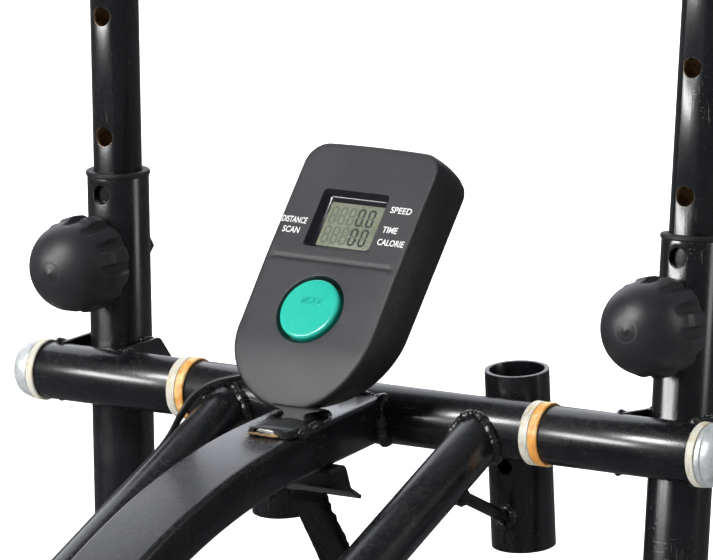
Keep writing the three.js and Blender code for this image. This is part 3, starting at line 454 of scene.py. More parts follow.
def route(x, start, heading, legs):
    """Stations [point, upward normal] along runs and bends in the plane of one x. A leg is (length,) or
    (turn in degrees, radius)."""
    at = Vector(start)
    angle = math.radians(heading)
    out = []

    def mark():
        out.append((Vector((x, at.x, at.y)), Vector((0, -math.sin(angle), math.cos(angle)))))

    mark()
    for leg in legs:
        if len(leg) == 1:
            at = at + Vector((math.cos(angle), math.sin(angle))) * leg[0]
            mark()
            continue
        turn, radius = math.radians(leg[0]), leg[1]
        way = math.copysign(radius, turn)
        centre = at + Vector((-math.sin(angle), math.cos(angle))) * way
        first = angle
        steps = max(4, int(abs(leg[0]) * 1.5))
        for i in range(1, steps + 1):
            angle = first + turn * i / steps
            at = centre + Vector((math.sin(angle), -math.cos(angle))) * way
            mark()
    return out


def sweep(section, stations, inner=None):
    def rings(outline, where):
        return [[p + X_AXIS * a + n * b for a, b in outline] for p, n in where]

    if not inner:
        return loft(rings(section, stations))
    return loft(rings(section, stations) + rings(inner, stations[::-1]), loop=True)


def carried(points):
    """Side and up directions carried along a free path without twist."""
    points = [Vector(p) for p in points]
    out = []
    up = None
    for i, p in enumerate(points):
        way = (points[min(i + 1, len(points) - 1)] - points[max(i - 1, 0)]).normalized()
        if up is None:
            up = square_to(way)[1]
        up = (up - way * up.dot(way)).normalized()
        out.append((p, way.cross(up), up))
    return out


def along_path(section, points, scale=None):
    rings = []
    for i, (p, side_way, up) in enumerate(carried(points)):
        s = scale(i) if scale else 1
        rings.append([p + (side_way * a + up * b) * s for a, b in section])
    return loft(rings)


def slab(outline, x0, x1):
    """An outline in the plane of y and z, carried from x0 to x1."""
    return loft([[Vector((x, *p)) for p in outline] for x in (x0, x1)])


def merged(*parts):
    whole = bmesh.new()
    for part in parts:
        mesh = bpy.data.meshes.new("part")
        part.to_mesh(mesh)
        part.free()
        whole.from_mesh(mesh)
        bpy.data.meshes.remove(mesh)
    return whole


def moved(made, matrix):
    made.transform(matrix)
    return made


def evaluated(obj):
    """The mesh with its modifiers applied."""
    bpy.context.view_layer.update()
    mesh = bpy.data.meshes.new_from_object(obj.evaluated_get(bpy.context.evaluated_depsgraph_get()))
    old = obj.data
    obj.modifiers.clear()
    obj.data = mesh
    bpy.data.meshes.remove(old)


def new_object(name, made):
    mesh = bpy.data.meshes.new(name)
    made.to_mesh(mesh)
    made.free()
    obj = bpy.data.objects.new(name, mesh)
    bpy.context.scene.collection.objects.link(obj)
    return obj


def boolean(obj, cutter, operation):
    tool = new_object("cutter", cutter)
    change = obj.modifiers.new("boolean", "BOOLEAN")
    change.operation = operation
    change.solver = "EXACT"
    change.object = tool
    evaluated(obj)
    bpy.data.objects.remove(tool)


def bevel(obj, width, segments=2, angle=38, material=-1):
    change = obj.modifiers.new("bevel", "BEVEL")
    change.width = width
    change.segments = segments
    change.limit_method = "ANGLE"
    change.angle_limit = math.radians(angle)
    change.use_clamp_overlap = True
    change.material = material
    evaluated(obj)


def smooth(obj, angle=32):
    made = bmesh.new()
    made.from_mesh(obj.data)
    for face in made.faces:
        face.smooth = True
    for edge in made.edges:
        edge.smooth = len(edge.link_faces) == 2 and edge.calc_face_angle(0) < math.radians(angle)
    made.to_mesh(obj.data)
    made.free()


def piece(name, made, body, slot, materials, cad=(), cuts=(), ease=0.6, ease_material=-1, pose=None,
          choose=None):
    """Builds, cuts, softens, places and mounts one piece. choose(face centre, normal) picks a material."""
    obj = new_object(name, made)
    for cutter in cuts:
        boolean(obj, cutter, "DIFFERENCE")
    materials = materials if isinstance(materials, (list, tuple)) else [materials]
    obj.data.materials.clear()
    for material in materials:
        obj.data.materials.append(material)
    if choose:
        for face in obj.data.polygons:
            face.material_index = choose(face.center, face.normal)
    if ease:
        bevel(obj, ease, material=ease_material)
    smooth(obj)
    obj.data.transform(TO_ROW @ pose if pose else TO_ROW)
    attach(obj, body)
    if cad:
        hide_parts(*cad)
    return obj


def bead(path, size, closed=False, seed=1, ripple=3.1, wobble=0.28):
    """A painted weld bead: a lumpy cord along a path, its ripples overlapping like fish scales."""
    random.seed(seed)
    points = [Vector(p) for p in path]
    if closed:
        points.append(points[0])
    dense = []
    for a, b in zip(points, points[1:]):
        count = max(1, round((b - a).length / 0.8))
        dense += [a.lerp(b, i / count) for i in range(count)]
    if not closed:
        dense.append(points[-1])
    travelled = 0
    last = dense[0]
    scales = []
    jitter = [random.uniform(-1, 1) for _ in range(400)]
    for p in dense:
        travelled += (p - last).length
        last = p
        phase = travelled / ripple + 0.35 * jitter[int(travelled / ripple) % 400]
        lump = noise.noise(p * 0.11 + Vector((seed, 0, 0)))
        scales.append(size * (0.84 + 0.24 * (phase % 1) + wobble * lump))
    section = circle(1, 12)
    shifted = [p + noise.noise_vector(p * 0.09 + Vector((0, seed, 0))) * size * 0.35 for p in dense]
    if not closed:
        for i in range(3):
            taper = (0.35, 0.7, 0.9)[i]
            scales[i] *= taper
            scales[-1 - i] *= taper
        return along_path(section, shifted, lambda i: scales[i])
    count = len(dense)
    middle = sum(shifted, Vector()) / count
    rings = []
    for i, p in enumerate(shifted):
        way = (shifted[(i + 1) % count] - shifted[i - 1]).normalized()
        out = (p - middle) - way * (p - middle).dot(way)
        out.normalize()
        across = way.cross(out)
        rings.append([p + (out * a + across * b) * scales[i] for a, b in section])
    return loft(rings, loop=True)


def around_cross(half_x, way, side_height, count=120, lift=1.0):
    """Where a tube that leaves along way, of section point (x, height) = side_height(turn), meets the cross
    tube."""
    up = Vector((0, -way.z, way.y))
    out = []
    for turn in turns(count):
        x, h = side_height(turn)
        h = max(-CROSS_RADIUS * 0.985, min(CROSS_RADIUS * 0.985, h))
        run = math.sqrt(CROSS_RADIUS**2 - h * h)
        out.append(Vector((half_x + x, 0, 0)) + up * h + way * (run + lift))
    return out


# ---------- main frame ----------
FRAME_BODY = "main_frame"


def frame_weld(name, made):
    return piece(name, made, FRAME_BODY, "frame_paint", WELD, ease=0)


def frame_painted(name, made, cad=(), material=PAINT, **more):
    return piece(name, made, FRAME_BODY, "frame_paint", material, cad, **more)


SIDE_WAY = Vector((0, -math.cos(math.radians(SIDE_DIP)), -math.sin(math.radians(SIDE_DIP))))
BEAM_DIP = 4.5
BEAM_WAY = Vector((0, -math.cos(math.radians(BEAM_DIP)), -math.sin(math.radians(BEAM_DIP))))
SIDE_LEGS = [(454,), (SIDE_BEND, 700), (322,)]
BASE_FRONT = 260
BASE_REAR = -900
BASE_Z = FLOOR_Z + 30


def side_route(x):
    return route(x, (0, 0), 180 + SIDE_DIP, SIDE_LEGS)


def cross_tube():
    low, high = local_box("cross_tube")
    tube = pipe((low.x, 0, 0), (high.x, 0, 0), CROSS_RADIUS, 16, sides=96)
    frame_painted("cross_tube_painted", tube, ["cross_tube"], ease=0.7)


def beam_outline(turn):
    """A point of the main beam's rounded outline, by its turn."""
    c, s = math.cos(turn), math.sin(turn)
    reach = min(25 / max(abs(c), 1e-6), 15 / max(abs(s), 1e-6))
    x, h = c * reach, s * reach
    corner = 3.2 * abs(math.sin(2 * turn)) ** 6
    return x - math.copysign(corner * 0.4, x), h - math.copysign(corner * 0.3, h)


def main_beam():
    legs = [(90,), (20.5, 540), (90 - BEAM_DIP - 20.5, 400), (local_box("main_beam")[1].z + 700,)]
    stations = route(0, (-15, 0), 180 + BEAM_DIP, legs)
    bottom = FLOOR_Z + 50.3
    last, normal = stations[-1]
    stations[-1] = (Vector((0, last.y, bottom)), normal)
    stations = [s for s in stations[:-1] if s[0].z > bottom] + [stations[-1]]
    beam = sweep(rounded_box(25, 15, 4), stations, rounded_box(23, 13, 2))
    frame_painted("main_beam_painted", beam, ["main_beam"], PAINT_FLAT, ease=0.5)
    seam = around_cross(0, BEAM_WAY, beam_outline, lift=1.2)
    frame_weld("main_beam_weld", bead(seam, 3.6, closed=True, seed=3, ripple=6.5, wobble=0.8))
    foot = [Vector((x, last.y + y, bottom)) for x, y in rounded_box(25.6, 15.6, 4, 2)]
    frame_weld("main_beam_foot_weld", bead(foot, 2.6, closed=True, seed=8))


def side_tube(side):
    x = SIDES[side] * SIDE_X
    stations = side_route(x)
    stations[0] = (stations[0][0] + SIDE_WAY * 12, stations[0][1])
    tube = sweep(circle(SIDE_RADIUS), stations, circle(SIDE_RADIUS - 2))
    housing = pipe((x - 11, AXLE.y, AXLE.z), (x + 11, AXLE.y, AXLE.z), 26, 20)
    body = new_object("side_tube_cutting", tube)
    boolean(body, rod((x - 14, AXLE.y, AXLE.z), (x + 14, AXLE.y, AXLE.z), 20.2), "DIFFERENCE")
    made = bmesh.new()
    made.from_mesh(body.data)
    bpy.data.objects.remove(body)
    frame_painted(side + "_side_tube_painted", made, [side + "_side_tube"], ease=0)
    frame_painted(side + "_axle_housing", housing, ease=1)

    def outline(turn):
        return SIDE_RADIUS * math.cos(turn), SIDE_RADIUS * math.sin(turn)

    seam = around_cross(x, SIDE_WAY, outline, lift=1.4)
    frame_weld(side + "_side_tube_weld", bead(seam, 3.5, closed=True, seed=11 + SIDES[side], wobble=0.8,
                                              ripple=4.6))
    back = Vector((0, math.cos(SIDE_END_DIP), math.sin(SIDE_END_DIP)))
    up = Vector((0, -back.z, back.y))
    ring = [Vector((x + 14.5 * math.cos(t), AXLE.y, AXLE.z)) + (back * 25 + up * SIDE_RADIUS * math.sin(t))
            for t in turns(40)]
    frame_weld(side + "_axle_housing_weld", bead(ring, 2.2, closed=True, seed=20))
    low = local_box(side + "_axle_bearing")[0]
    race = turned((low.x, AXLE.y, AXLE.z), X_AXIS,
                  [(0.6, 19.6), (21.4, 19.6), (21.4, 16.4), (20.2, 16), (20.2, 13.6), (21.4, 13.2),
                   (21.4, 10.4),
                   (0.6, 10.4), (0.6, 13.2), (1.8, 13.6), (1.8, 16), (0.6, 16.4)], loop=True)
    piece(side + "_axle_bearing_ground", race, FRAME_BODY, "bare_steel", STEEL, [side + "_axle_bearing"],
          ease=0.3)


def front_socket(side):
    x = SIDES[side] * SOCKET_X
    lean = math.radians(SOCKET_LEAN)
    axis = Vector((0, -math.sin(lean), math.cos(lean)))
    ahead = Vector((0, math.cos(lean), math.sin(lean)))
    centre = Vector((x, 40, 0))
    tube = pipe(centre - axis * 86.7, centre + axis * 31.4, 21, 18, sides=96)
    hole = rod(centre - axis * 29, centre - axis * 29 - ahead * 40, 5.5)
    crossing = rod((x - 60, 0, 0), (x + 60, 0, 0), CROSS_RADIUS - 0.4)
    frame_painted(side + "_front_socket_painted", tube, [side + "_front_socket"], cuts=[hole, crossing],
                  ease=0.8)
    brace = rod((x, -30, -40), centre - axis * 64 - ahead * 19, 4, 32)
    frame_painted(side + "_socket_brace", brace, ease=0.5)
    for end, (spot, size, seed) in {"front": (centre - axis * 62.6 - ahead * 21, 3.2, 31),
                                    "rear": (Vector((x, -33, -38.5)), 2.6, 37)}.items():
        ring = [spot + X_AXIS * 4.6 * math.cos(t) + axis * 5.4 * math.sin(t)
                for t in turns(24)]
        frame_weld(f"{side}_socket_brace_{end}_weld", bead(ring, size, closed=True, seed=seed, wobble=0.6))
    for level, top in (("top", 1), ("bottom", -1)):
        seam = []
        for i in range(31):
            across = -15 + i
            y = 40 - math.sqrt(21**2 - across**2)
            z = math.sqrt(max(CROSS_RADIUS**2 - y**2, 0)) if abs(y) < CROSS_RADIUS else 0
            seam.append(Vector((x + across, max(y, 1), top * max(z, 1.5))))
        frame_weld(f"{side}_socket_{level}_weld", bead(seam, 3.1, seed=41 + top, wobble=0.9, ripple=5))
    drips = [centre + X_AXIS * SIDES[side] * -3 - axis * (68 + 3.4 * i) - ahead * 20.6 for i in range(5)]
    frame_weld(side + "_socket_weld_run", bead(drips, 1.5, seed=47, wobble=0.7))


def base():
    low, high = local_box("tie_bar")
    bar = pipe((low.x, *TIE_BAR), (high.x, *TIE_BAR), 12, 10)
    frame_painted("tie_bar_painted", bar, ["tie_bar"], ease=0.5)
    beam = sweep(rounded_box(30, 20, 4), route(0, (BASE_FRONT - 20, BASE_Z), 180,
                                               [(BASE_FRONT - BASE_REAR - 40,)]),
                 rounded_box(27.5, 17.5, 1.5))
    frame_painted("floor_beam_painted", beam, ["floor_beam"], PAINT_FLAT, ease=0.5)
    for end, y in (("front", BASE_FRONT), ("rear", BASE_REAR)):
        tube = pipe((-265, y, BASE_Z), (265, y, BASE_Z), 25, 23, sides=96)
        frame_painted(end + "_stabiliser_painted", tube, [end + "_stabiliser"], ease=0.6)
        toward = -1 if end == "front" else 1
        seam = [Vector((a, y + toward * (math.sqrt(max(625 - b * b, 0)) + 1), BASE_Z + b))
                for a, b in rounded_box(30.5, 20.5, 4, 3)]
        frame_weld(end + "_stabiliser_weld", bead(seam, 2.8, closed=True, seed=51))
    for side, s in SIDES.items():
        x = s * SIDE_X
        way = (Vector((x, AXLE.y, AXLE.z)) - Vector((x, BASE_REAR, BASE_Z))).normalized()
        foot = Vector((x, BASE_REAR, BASE_Z)) + way * 20
        top = Vector((x, AXLE.y, AXLE.z)) - way * 24
        frame_painted(side + "_axle_upright", pipe(foot, top, 14, 12), ease=0.4)
        for end, spot in (("foot", foot + way * 6), ("top", top - way * 2)):
            u, v = square_to(way)
            ring = [spot + (u * math.cos(t) + v * math.sin(t)) * 14.6 for t in turns(30)]
            frame_weld(f"{side}_axle_upright_{end}_weld", bead(ring, 2.2, closed=True, seed=57))
        wheel_low, wheel_high = local_box(side + "_transport_wheel")
        hub = (wheel_low + wheel_high) / 2
        ear = soften([(BASE_FRONT, BASE_Z - 12), (hub.y + 12, hub.z - 10), (hub.y + 12, hub.z + 12),
                      (BASE_FRONT, BASE_Z + 18)], 9)
        inner = hub.x - s * 10
        frame_painted(side + "_wheel_ear", slab(ear, min(inner, inner - 4 * s), max(inner, inner - 4 * s)),
                      ease=0.6)
        stub = turned((inner - s * 4, hub.y, hub.z), (s, 0, 0), [(-4, 6.5), (0, 6.5), (0.1, 4), (27, 4),
                                                                 (27.1, 6),
                                                               (30, 6), (31.5, 3)], 32)
        piece(side + "_wheel_axle", stub, FRAME_BODY, "bare_steel", STEEL, ease=0.4)
        tyre = [(-9, 5), (-9, 10), (-6.5, 11), (-6.5, 17.5), (-9, 18.5), (-9, 21), (-6.5, 23.4), (-5, 24),
                (-1.2, 24),
                (-0.8, 23.2), (0.8, 23.2), (1.2, 24), (5, 24), (6.5, 23.4), (9, 21), (9, 18.5), (6.5, 17.5),
                (6.5, 11), (9, 10), (9, 5)]
        piece(side + "_transport_wheel_moulded", turned(hub, X_AXIS, tyre, loop=True), side + "_wheel",
              "black_plastic", TREAD, [side + "_transport_wheel"], ease=0.5)
        for end, y in (("front", BASE_FRONT), ("rear", BASE_REAR)):
            foot_cap(side, end, y)


def foot_cap(side, end, y):
    """A cup over the stabiliser's end, with a flat ribbed sole on the floor."""
    s = SIDES[side]
    node = f"{side}_{end}_foot_cap"
    profile = [(0, 28), (0, 31), (1.5, 32), (6, 32), (7, 31.2), (8, 32), (13, 32), (14, 31.2), (15, 32),
               (30, 32),
               (35, 29), (37, 24), (37, 4)]
    cup = turned((s * 248, y, BASE_Z), (s, 0, 0), profile, 96)
    sole = slab([(-400, -200), (400, -200), (400, 0), (-400, 0)], -400, 400)
    sole = moved(sole, Matrix.Translation((0, y, FLOOR_Z)))
    socket = rod((s * 240, y, BASE_Z), (s * 265.3, y, BASE_Z), 25.3, 96)
    piece(node + "_moulded", cup, FRAME_BODY, "black_plastic", TREAD, [node], cuts=[sole, socket], ease=0.7)


def pivot_parts():
    low, high = local_box("pivot_shaft")
    shaft = rod((low.x, 0, 0), (high.x, 0, 0), 12.5, 72)
    piece("pivot_shaft_ground", shaft, FRAME_BODY, "bare_steel", STEEL, ["pivot_shaft"], ease=0.8)
    for side, s in SIDES.items():
        rings = {"frame_bush": FRAME_BODY, "inner_bush": side + "_arm", "outer_bush": side + "_arm"}
        for kind, body in rings.items():
            low, high = local_box(f"{side}_{kind}")
            ends = sorted((low.x, high.x), key=abs)
            flange_out = kind != "inner_bush"
            start = ends[1] if flange_out else ends[0]
            way = -s if flange_out else s
            material = {"frame_bush": AGED if side == "left" else CREAM, "outer_bush": CREAM,
                        "inner_bush": CREAM if side == "left" else AGED}[kind]
            lip = 5.4 if kind == "outer_bush" else 6.4
            profile = [(0, 12.9), (0, 20.2), (0.4, 20.6), (lip - 0.7, 20.7), (lip, 20.2), (lip, 19.3),
                       (3, 19.3),
                       (3, 15.7), (17.5, 15.6), (18, 15.2), (18, 12.9)]
            slot = frame_slot(f"{side}_{kind}")
            piece(f"{side}_{kind}_moulded", turned((start, 0, 0), (way, 0, 0), profile, 96, loop=True),
                  body, slot,
                  material, [f"{side}_{kind}"], ease=0)
        low, high = local_box(side + "_end_cap")
        start = min(abs(low.x), abs(high.x)) * s
        dome = [(0, 19.6), (0.4, 20.1), (3.4, 20.1), (3.9, 19.7), (4.1, 19.2), (5.0, 19.2), (8.2, 18.7),
                (10.4, 17.6),
                (12.4, 15.8), (14.2, 13.2), (15.6, 9.8), (16.6, 6), (17, 2.4), (17, 0.4)]
        cap = turned((start, 0, 0), (s, 0, 0), dome, 96)
        socket = rod((start - s * 2, 0, 0), (s * 262.3, 0, 0), 12.8)
        piece(side + "_end_cap_plated", cap, FRAME_BODY, "zinc", ZINC, [side + "_end_cap"], cuts=[socket],
              ease=0.25)


def frame_slot(node):
    return next(p["material_slot"] for p in frame["record"]["subparts"] if p["node"] == node)


# ---------- swing arms ----------
def swing_arm(side):
    s = SIDES[side]
    x = s * ARM_X
    body = side + "_arm"
    pose = ARM_FRAME[side]
    name = side + "_swing_arm"

    def part(label, made, material=PAINT_DULL, **more):
        return piece(f"{side}_{label}", made, body, "frame_paint", material, pose=pose, **more)

    sleeve = pipe((s * SLEEVE[0], 0, 0), (s * SLEEVE[1], 0, 0), CROSS_RADIUS, 16, sides=96)
    part("arm_sleeve", sleeve, PAINT, cad=[name], ease=0.7)
    tube = pipe((x, ARM_FORWARD, -464), (x, ARM_FORWARD, 130), ARM_RADIUS, 17.3, sides=96)
    sight = rod((x, ARM_FORWARD, SIGHT_HEIGHT), (x, ARM_FORWARD - 40, SIGHT_HEIGHT), HOLE_RADIUS, 40)
    screw = rod((x, ARM_FORWARD, KNOB_HEIGHT), (x, ARM_FORWARD - 40, KNOB_HEIGHT), 6, 32)
    part("arm_tube", tube, [PAINT_DULL, WORN_RIM], cuts=[sight, screw], ease=0.7)
    low_boss = pipe((x - 21, ARM_FORWARD, -470), (x + 21, ARM_FORWARD, -470), 19, 8.6)
    part("arm_boss", low_boss, ease=0.8)
    neck = [Vector((x + 17 * math.cos(t), ARM_FORWARD + 17 * math.sin(t),
                    -452 - 0.3 * abs(17 * math.cos(t))))
            for t in turns(36)]
    part("arm_boss_weld", bead(neck, 2.4, closed=True, seed=61), WELD, ease=0)
    outline = soften([(0, -20), (61, -20), (61, 2), (46, 20), (0, 20)], 3.5)
    plate = slab(outline, x - 25.4, x + 25.4)
    hollow = slab([(-9, -40), (58, -40), (58, 40), (-9, 40)], x - 22.4, x + 22.4)
    bore = rod((x - 40, 0, 0), (x + 40, 0, 0), CROSS_RADIUS - 0.2)
    part("arm_bracket", plate, PAINT, cuts=[hollow, bore], ease=0.8)
    part("arm_bracket_web", slab(soften([(55, -19), (59, -19), (59, 0), (55, 0)], 1), x - 9, x + 9), PAINT,
         ease=0.5)
    for edge, at in (("inner", -24), ("outer", 24)):
        for level in (1, -1):
            seam = []
            for i in range(15):
                turn = math.radians(88 - 74 * i / 14)
                seam.append(Vector((x + at + math.copysign(2.6, at), (CROSS_RADIUS + 0.6) * math.cos(turn),
                                    level * (CROSS_RADIUS + 0.6) * math.sin(turn))))
            label = "upper" if level > 0 else "lower"
            part(f"bracket_{edge}_{label}_weld", bead(seam, 2.3, seed=65 + at + level, wobble=0.5), WELD,
                 ease=0)
        climb = [Vector((x + at * 0.86, ARM_FORWARD - ARM_RADIUS * 0.35 + 14 * t, 20.5 - 1.5 * t))
                 for t in (i / 10 for i in range(11))]
        part(f"bracket_{edge}_tube_weld", bead(climb, 2.1, seed=71 + at, wobble=0.6), WELD, ease=0)
    nut = turned((x, ARM_FORWARD + 18, KNOB_HEIGHT), (0, 1, 0), [(0, 7.4), (12.6, 7.4), (14, 6)], 6)
    part("screw_nut", nut, BLACK, ease=0.6)
    boss = turned((x, ARM_FORWARD - 17, KNOB_HEIGHT), (0, -1, 0), [(0, 10), (8, 10), (8.7, 9.3), (8.7, 6),
                                                                   (0, 6)],
                  48, loop=True)
    part("weld_nut", boss, PAINT, ease=0.4)
    boss_ring = []
    for t in turns(36):
        across = 10.4 * math.cos(t)
        boss_ring.append(Vector((x + across, ARM_FORWARD - math.sqrt(ARM_RADIUS**2 - across**2) - 0.4,
                                 KNOB_HEIGHT + 10.4 * math.sin(t))))
    part("weld_nut_bead", bead(boss_ring, 1.5, closed=True, seed=77), WELD, ease=0)
    collar = [(0, 16.6), (0, 21.1), (0.7, 21.6), (2.4, 21.6), (3.3, 20.9), (3.5, 19.6), (3.5, 16.6)]
    piece(side + "_arm_collar_moulded", turned((x, ARM_FORWARD, 130.2), (0, 0, 1), collar, 96, loop=True),
          body,
          "black_plastic", BLACK, [side + "_arm_collar"], pose=pose, ease=0)


def handlebar(side):
    s = SIDES[side]
    x = s * ARM_X
    body = side + "_upper_handle"
    pose = ARM_FRAME[side]
    stations = route(x, (ARM_FORWARD, -34), 90, [(494,), (28, 130), (250,)])
    tube = sweep(circle(HANDLEBAR_RADIUS), stations, circle(HANDLEBAR_RADIUS - 1.8))
    heights = [KNOB_HEIGHT + HOLE_PITCH * k for k in range(4)]
    holes = [rod((x, ARM_FORWARD - 30, z), (x, ARM_FORWARD + 30, z), HOLE_RADIUS, 40) for z in heights]

    def inside(centre, normal):
        from_axis = math.hypot(centre.x - x, centre.y - ARM_FORWARD)
        return 2 if from_axis < HANDLEBAR_RADIUS - 0.3 and centre.z < 455 else 0

    piece(side + "_handlebar_painted", tube, body, "frame_paint", [PAINT_DULL, WORN_RIM, RUST],
          [side + "_handlebar"], cuts=holes, ease=0.9, ease_material=1, pose=pose, choose=inside)
    end, up = stations[-1]
    way = Vector((0, up.z, -up.y))
    start = end - way * 232
    ribs = [(0, 16.6), (0, 20), (1.5, 21), (9, 21), (10.5, 20.2), (12, 21)]
    ribs += [(12 + 208 * k / 26, 21 - 0.35 * (k % 2)) for k in range(1, 27)] + [(230, 21), (231.5, 20),
                                                                                (231.5, 16.6)]
    piece(side + "_grip_foam", turned(start, way, ribs, 96, loop=True), body, "foam", FOAM,
          [side + "_grip"],
          pose=pose, ease=0.4)
    plug = [(-16, 13.8), (0.3, 14.1), (0.35, 20), (2.6, 20), (3.5, 19.2), (3.6, 15), (5.6, 14.2), (6.4, 11),
            (6.5, 1)]
    piece(side + "_grip_plug_moulded", turned(end, way, plug, 72), body, "black_plastic", BLACK,
          [side + "_grip_plug"], pose=pose, ease=0.3)


def adjust_knob(side):
    """A ball-fronted screw knob: lobes cut into it from the base end, a gate mark on its nose."""
    x = SIDES[side] * ARM_X
    lobes = 12
    top, radius = 53.5, 30.1

    profile = [(-2, 9), (-2, 13.4), (-1.4, 14), (0.6, 14), (0.8, 22), (1.4, 25.5), (2.4, 28.5), (4, 30.4),
               (7, 31.6),
               (12, 32.2), (16, 32.3), (20, 32.1), (22, 31.7), (23.4, 31.0), (24.4, 30.3)]
    for k in range(1, 44):
        turn = math.radians(90 * k / 44)
        reach = radius * math.cos(turn)
        dent = 0.34 * math.exp(-((reach - 6.6) / 0.55) ** 2) - 1.1 * math.exp(-(reach / 2.1) ** 2)
        profile.append((25 + (top - 25) * math.sin(turn) - dent, reach))
    profile.append((top + 1.1, 0.5))
    reaches = dict(profile)

    def scallop(turn, along):
        """The flutes are cut to one depth all along, so they run out on the ball."""
        period = ((turn - math.radians(15)) * lobes / math.tau) % 1
        cut = min(1, max(0, (abs(period - 0.5) - 0.17) / 0.11))
        cut = cut * cut * (3 - 2 * cut)
        limit = 28.3 + 4.2 * cut
        return min(1, limit / reaches[along]) if along > 0.7 else 1

    base = Vector((x, ARM_FORWARD - 28.5, KNOB_HEIGHT))
    knob = turned(base, (0, -1, 0), profile, 180, shape=scallop)
    piece(side + "_adjust_knob_moulded", knob, side + "_knob", "knob_plastic", KNOB,
          [side + "_adjust_knob"],
          pose=ARM_FRAME[side], ease=0)
    bolt = rod(base + Vector((0, 11, 0)), base + Vector((0, -2, 0)), 4.9, 32)
    piece(side + "_adjust_bolt", bolt, side + "_knob", "knob_plastic", STEEL, pose=ARM_FRAME[side],
          ease=0.3)


# ---------- drive ----------
def flywheel():
    """Spoked casting with a turned rim; the rim's face takes the bright material."""
    rim = 190
    profile = [(-23, 10.4), (-23, 27), (-22, 28), (-5, 33), (-3.5, 36), (-3, 60), (-3, 154), (-4.5, 158),
               (-10, 161),
               (-11, 162.5), (-11, 188.5), (-9.5, 190), (9.5, 190), (11, 188.5), (11, 162.5), (10, 161),
               (4.5, 158),
               (3, 154), (3, 60), (3.5, 36), (5, 33), (22, 28), (23, 27), (23, 10.4)]
    disc = turned(AXLE, X_AXIS, profile, 144, loop=True)
    windows = []
    for turn in turns(5):
        centre = AXLE + Vector((0, 98 * math.cos(turn), 98 * math.sin(turn)))
        windows.append(rod(centre - X_AXIS * 30, centre + X_AXIS * 30, 34, 72))

    def bright(centre, normal):
        return 1 if math.hypot(centre.y - AXLE.y, centre.z - AXLE.z) > rim - 1.7 else 0

    piece("flywheel_casting", disc, "drive", "flywheel_iron", [IRON, STEEL], ["flywheel"], cuts=windows,
          ease=1.2,
          choose=bright)


def crank_pin(side):
    """The crank pin's centre at rest, from the top of the crankset's box."""
    rise = local_box("crankset")[1].z - AXLE.z - 17
    top = math.acos(max(-1, min(1, rise / CRANK_REACH)))
    way = Vector((0, math.sin(top), math.cos(top)))
    return AXLE + way * CRANK_REACH * (1 if side == "left" else -1)


def crankset():
    bar_profile = [(-133, 8.5), (-132, 10), (132, 10), (133, 8.5)]
    piece("crank_axle", turned(AXLE, X_AXIS, bar_profile, 64), "drive", "frame_paint", STEEL, ["crankset"],
          ease=0.3)
    for side, s in SIDES.items():
        pin = crank_pin(side)
        way = (pin - AXLE).normalized()
        across = Vector((0, -way.z, way.y))
        fan = [math.radians(-80 + 160 * i / 16) for i in range(17)]
        hub = [AXLE - way * 21 * math.cos(t) + across * 21 * math.sin(t) for t in fan]
        end = [pin + way * 16.5 * math.cos(t) - across * 16.5 * math.sin(t) for t in fan]
        waist = [AXLE.lerp(pin, 0.35) + across * 13.2, AXLE.lerp(pin, 0.65) + across * 12.6]
        other = [AXLE.lerp(pin, 0.65) - across * 12.6, AXLE.lerp(pin, 0.35) - across * 13.2]
        outline = [(p.y, p.z) for p in hub + waist + end + other]
        piece(side + "_crank_arm", slab(outline, *sorted((s * 114, s * 130))), "drive", "frame_paint",
              PAINT, ease=1.6)
        boss = turned((s * 129, pin.y, pin.z), (s, 0, 0), [(0, 12.6), (4, 12.6), (5, 12), (18, 12),
                                                           (19, 11)], 64)
        piece(side + "_crank_pin", boss, "drive", "bare_steel", STEEL, ease=0.3)
        nut = turned((s * 129.6, AXLE.y, AXLE.z), (s, 0, 0), [(0, 12.5), (1.4, 12.5), (1.5, 10.9),
                                                              (8, 10.9),
                                                             (9, 9.4), (9.1, 6), (11, 5)], 6)
        piece(side + "_crank_nut", nut, "drive", "zinc", ZINC, ease=0.5)


def brake():
    low, high = local_box("brake_block")
    middle = (low.y + high.y) / 2
    outline = soften([(low.y, low.z), (high.y, low.z), (high.y, high.z), (low.y, high.z)], 7, 5)
    wheel = rod((-60, AXLE.y, AXLE.z), (60, AXLE.y, AXLE.z), 191.5, 256)
    piece("brake_block_moulded", slab(outline, low.x, high.x), FRAME_BODY, "black_plastic", BLACK,
          ["brake_block"],
          cuts=[wheel], ease=1.4)
    for x in (low.x, high.x):
        way = math.copysign(1, x)
        for y in (middle - 28, middle + 28):
            bolt = turned((x - way * 1, y, low.z + 16), (way, 0, 0), [(0, 7), (2.2, 7), (2.3, 5.6),
                                                                      (5.8, 5.6), (6.4, 4.8)],
                          6)
            piece(f"brake_bolt_{'a' if x < 0 else 'b'}_{'rear' if y < middle else 'front'}", bolt,
                  FRAME_BODY, "zinc",
                  ZINC, ease=0.4)
    low, high = local_box("resistance_knob")
    centre = Vector((0, low.y, (low.z + high.z) / 2))

    def scallop(turn, along):
        return 1 - 0.10 * max(0, math.cos(6 * turn)) ** 2 * min(1, along / 4)

    profile = [(0, 16), (0, 19.5), (1, 20.4), (13, 21.9), (15.5, 21), (17, 18.5), (17.6, 15), (17, 12.5),
               (17, 0.5)]
    piece("resistance_knob_moulded", turned(centre, (0, 1, 0), profile, 120, shape=scallop), "tension_knob",
          "knob_plastic", KNOB, ["resistance_knob"], ease=0.3)


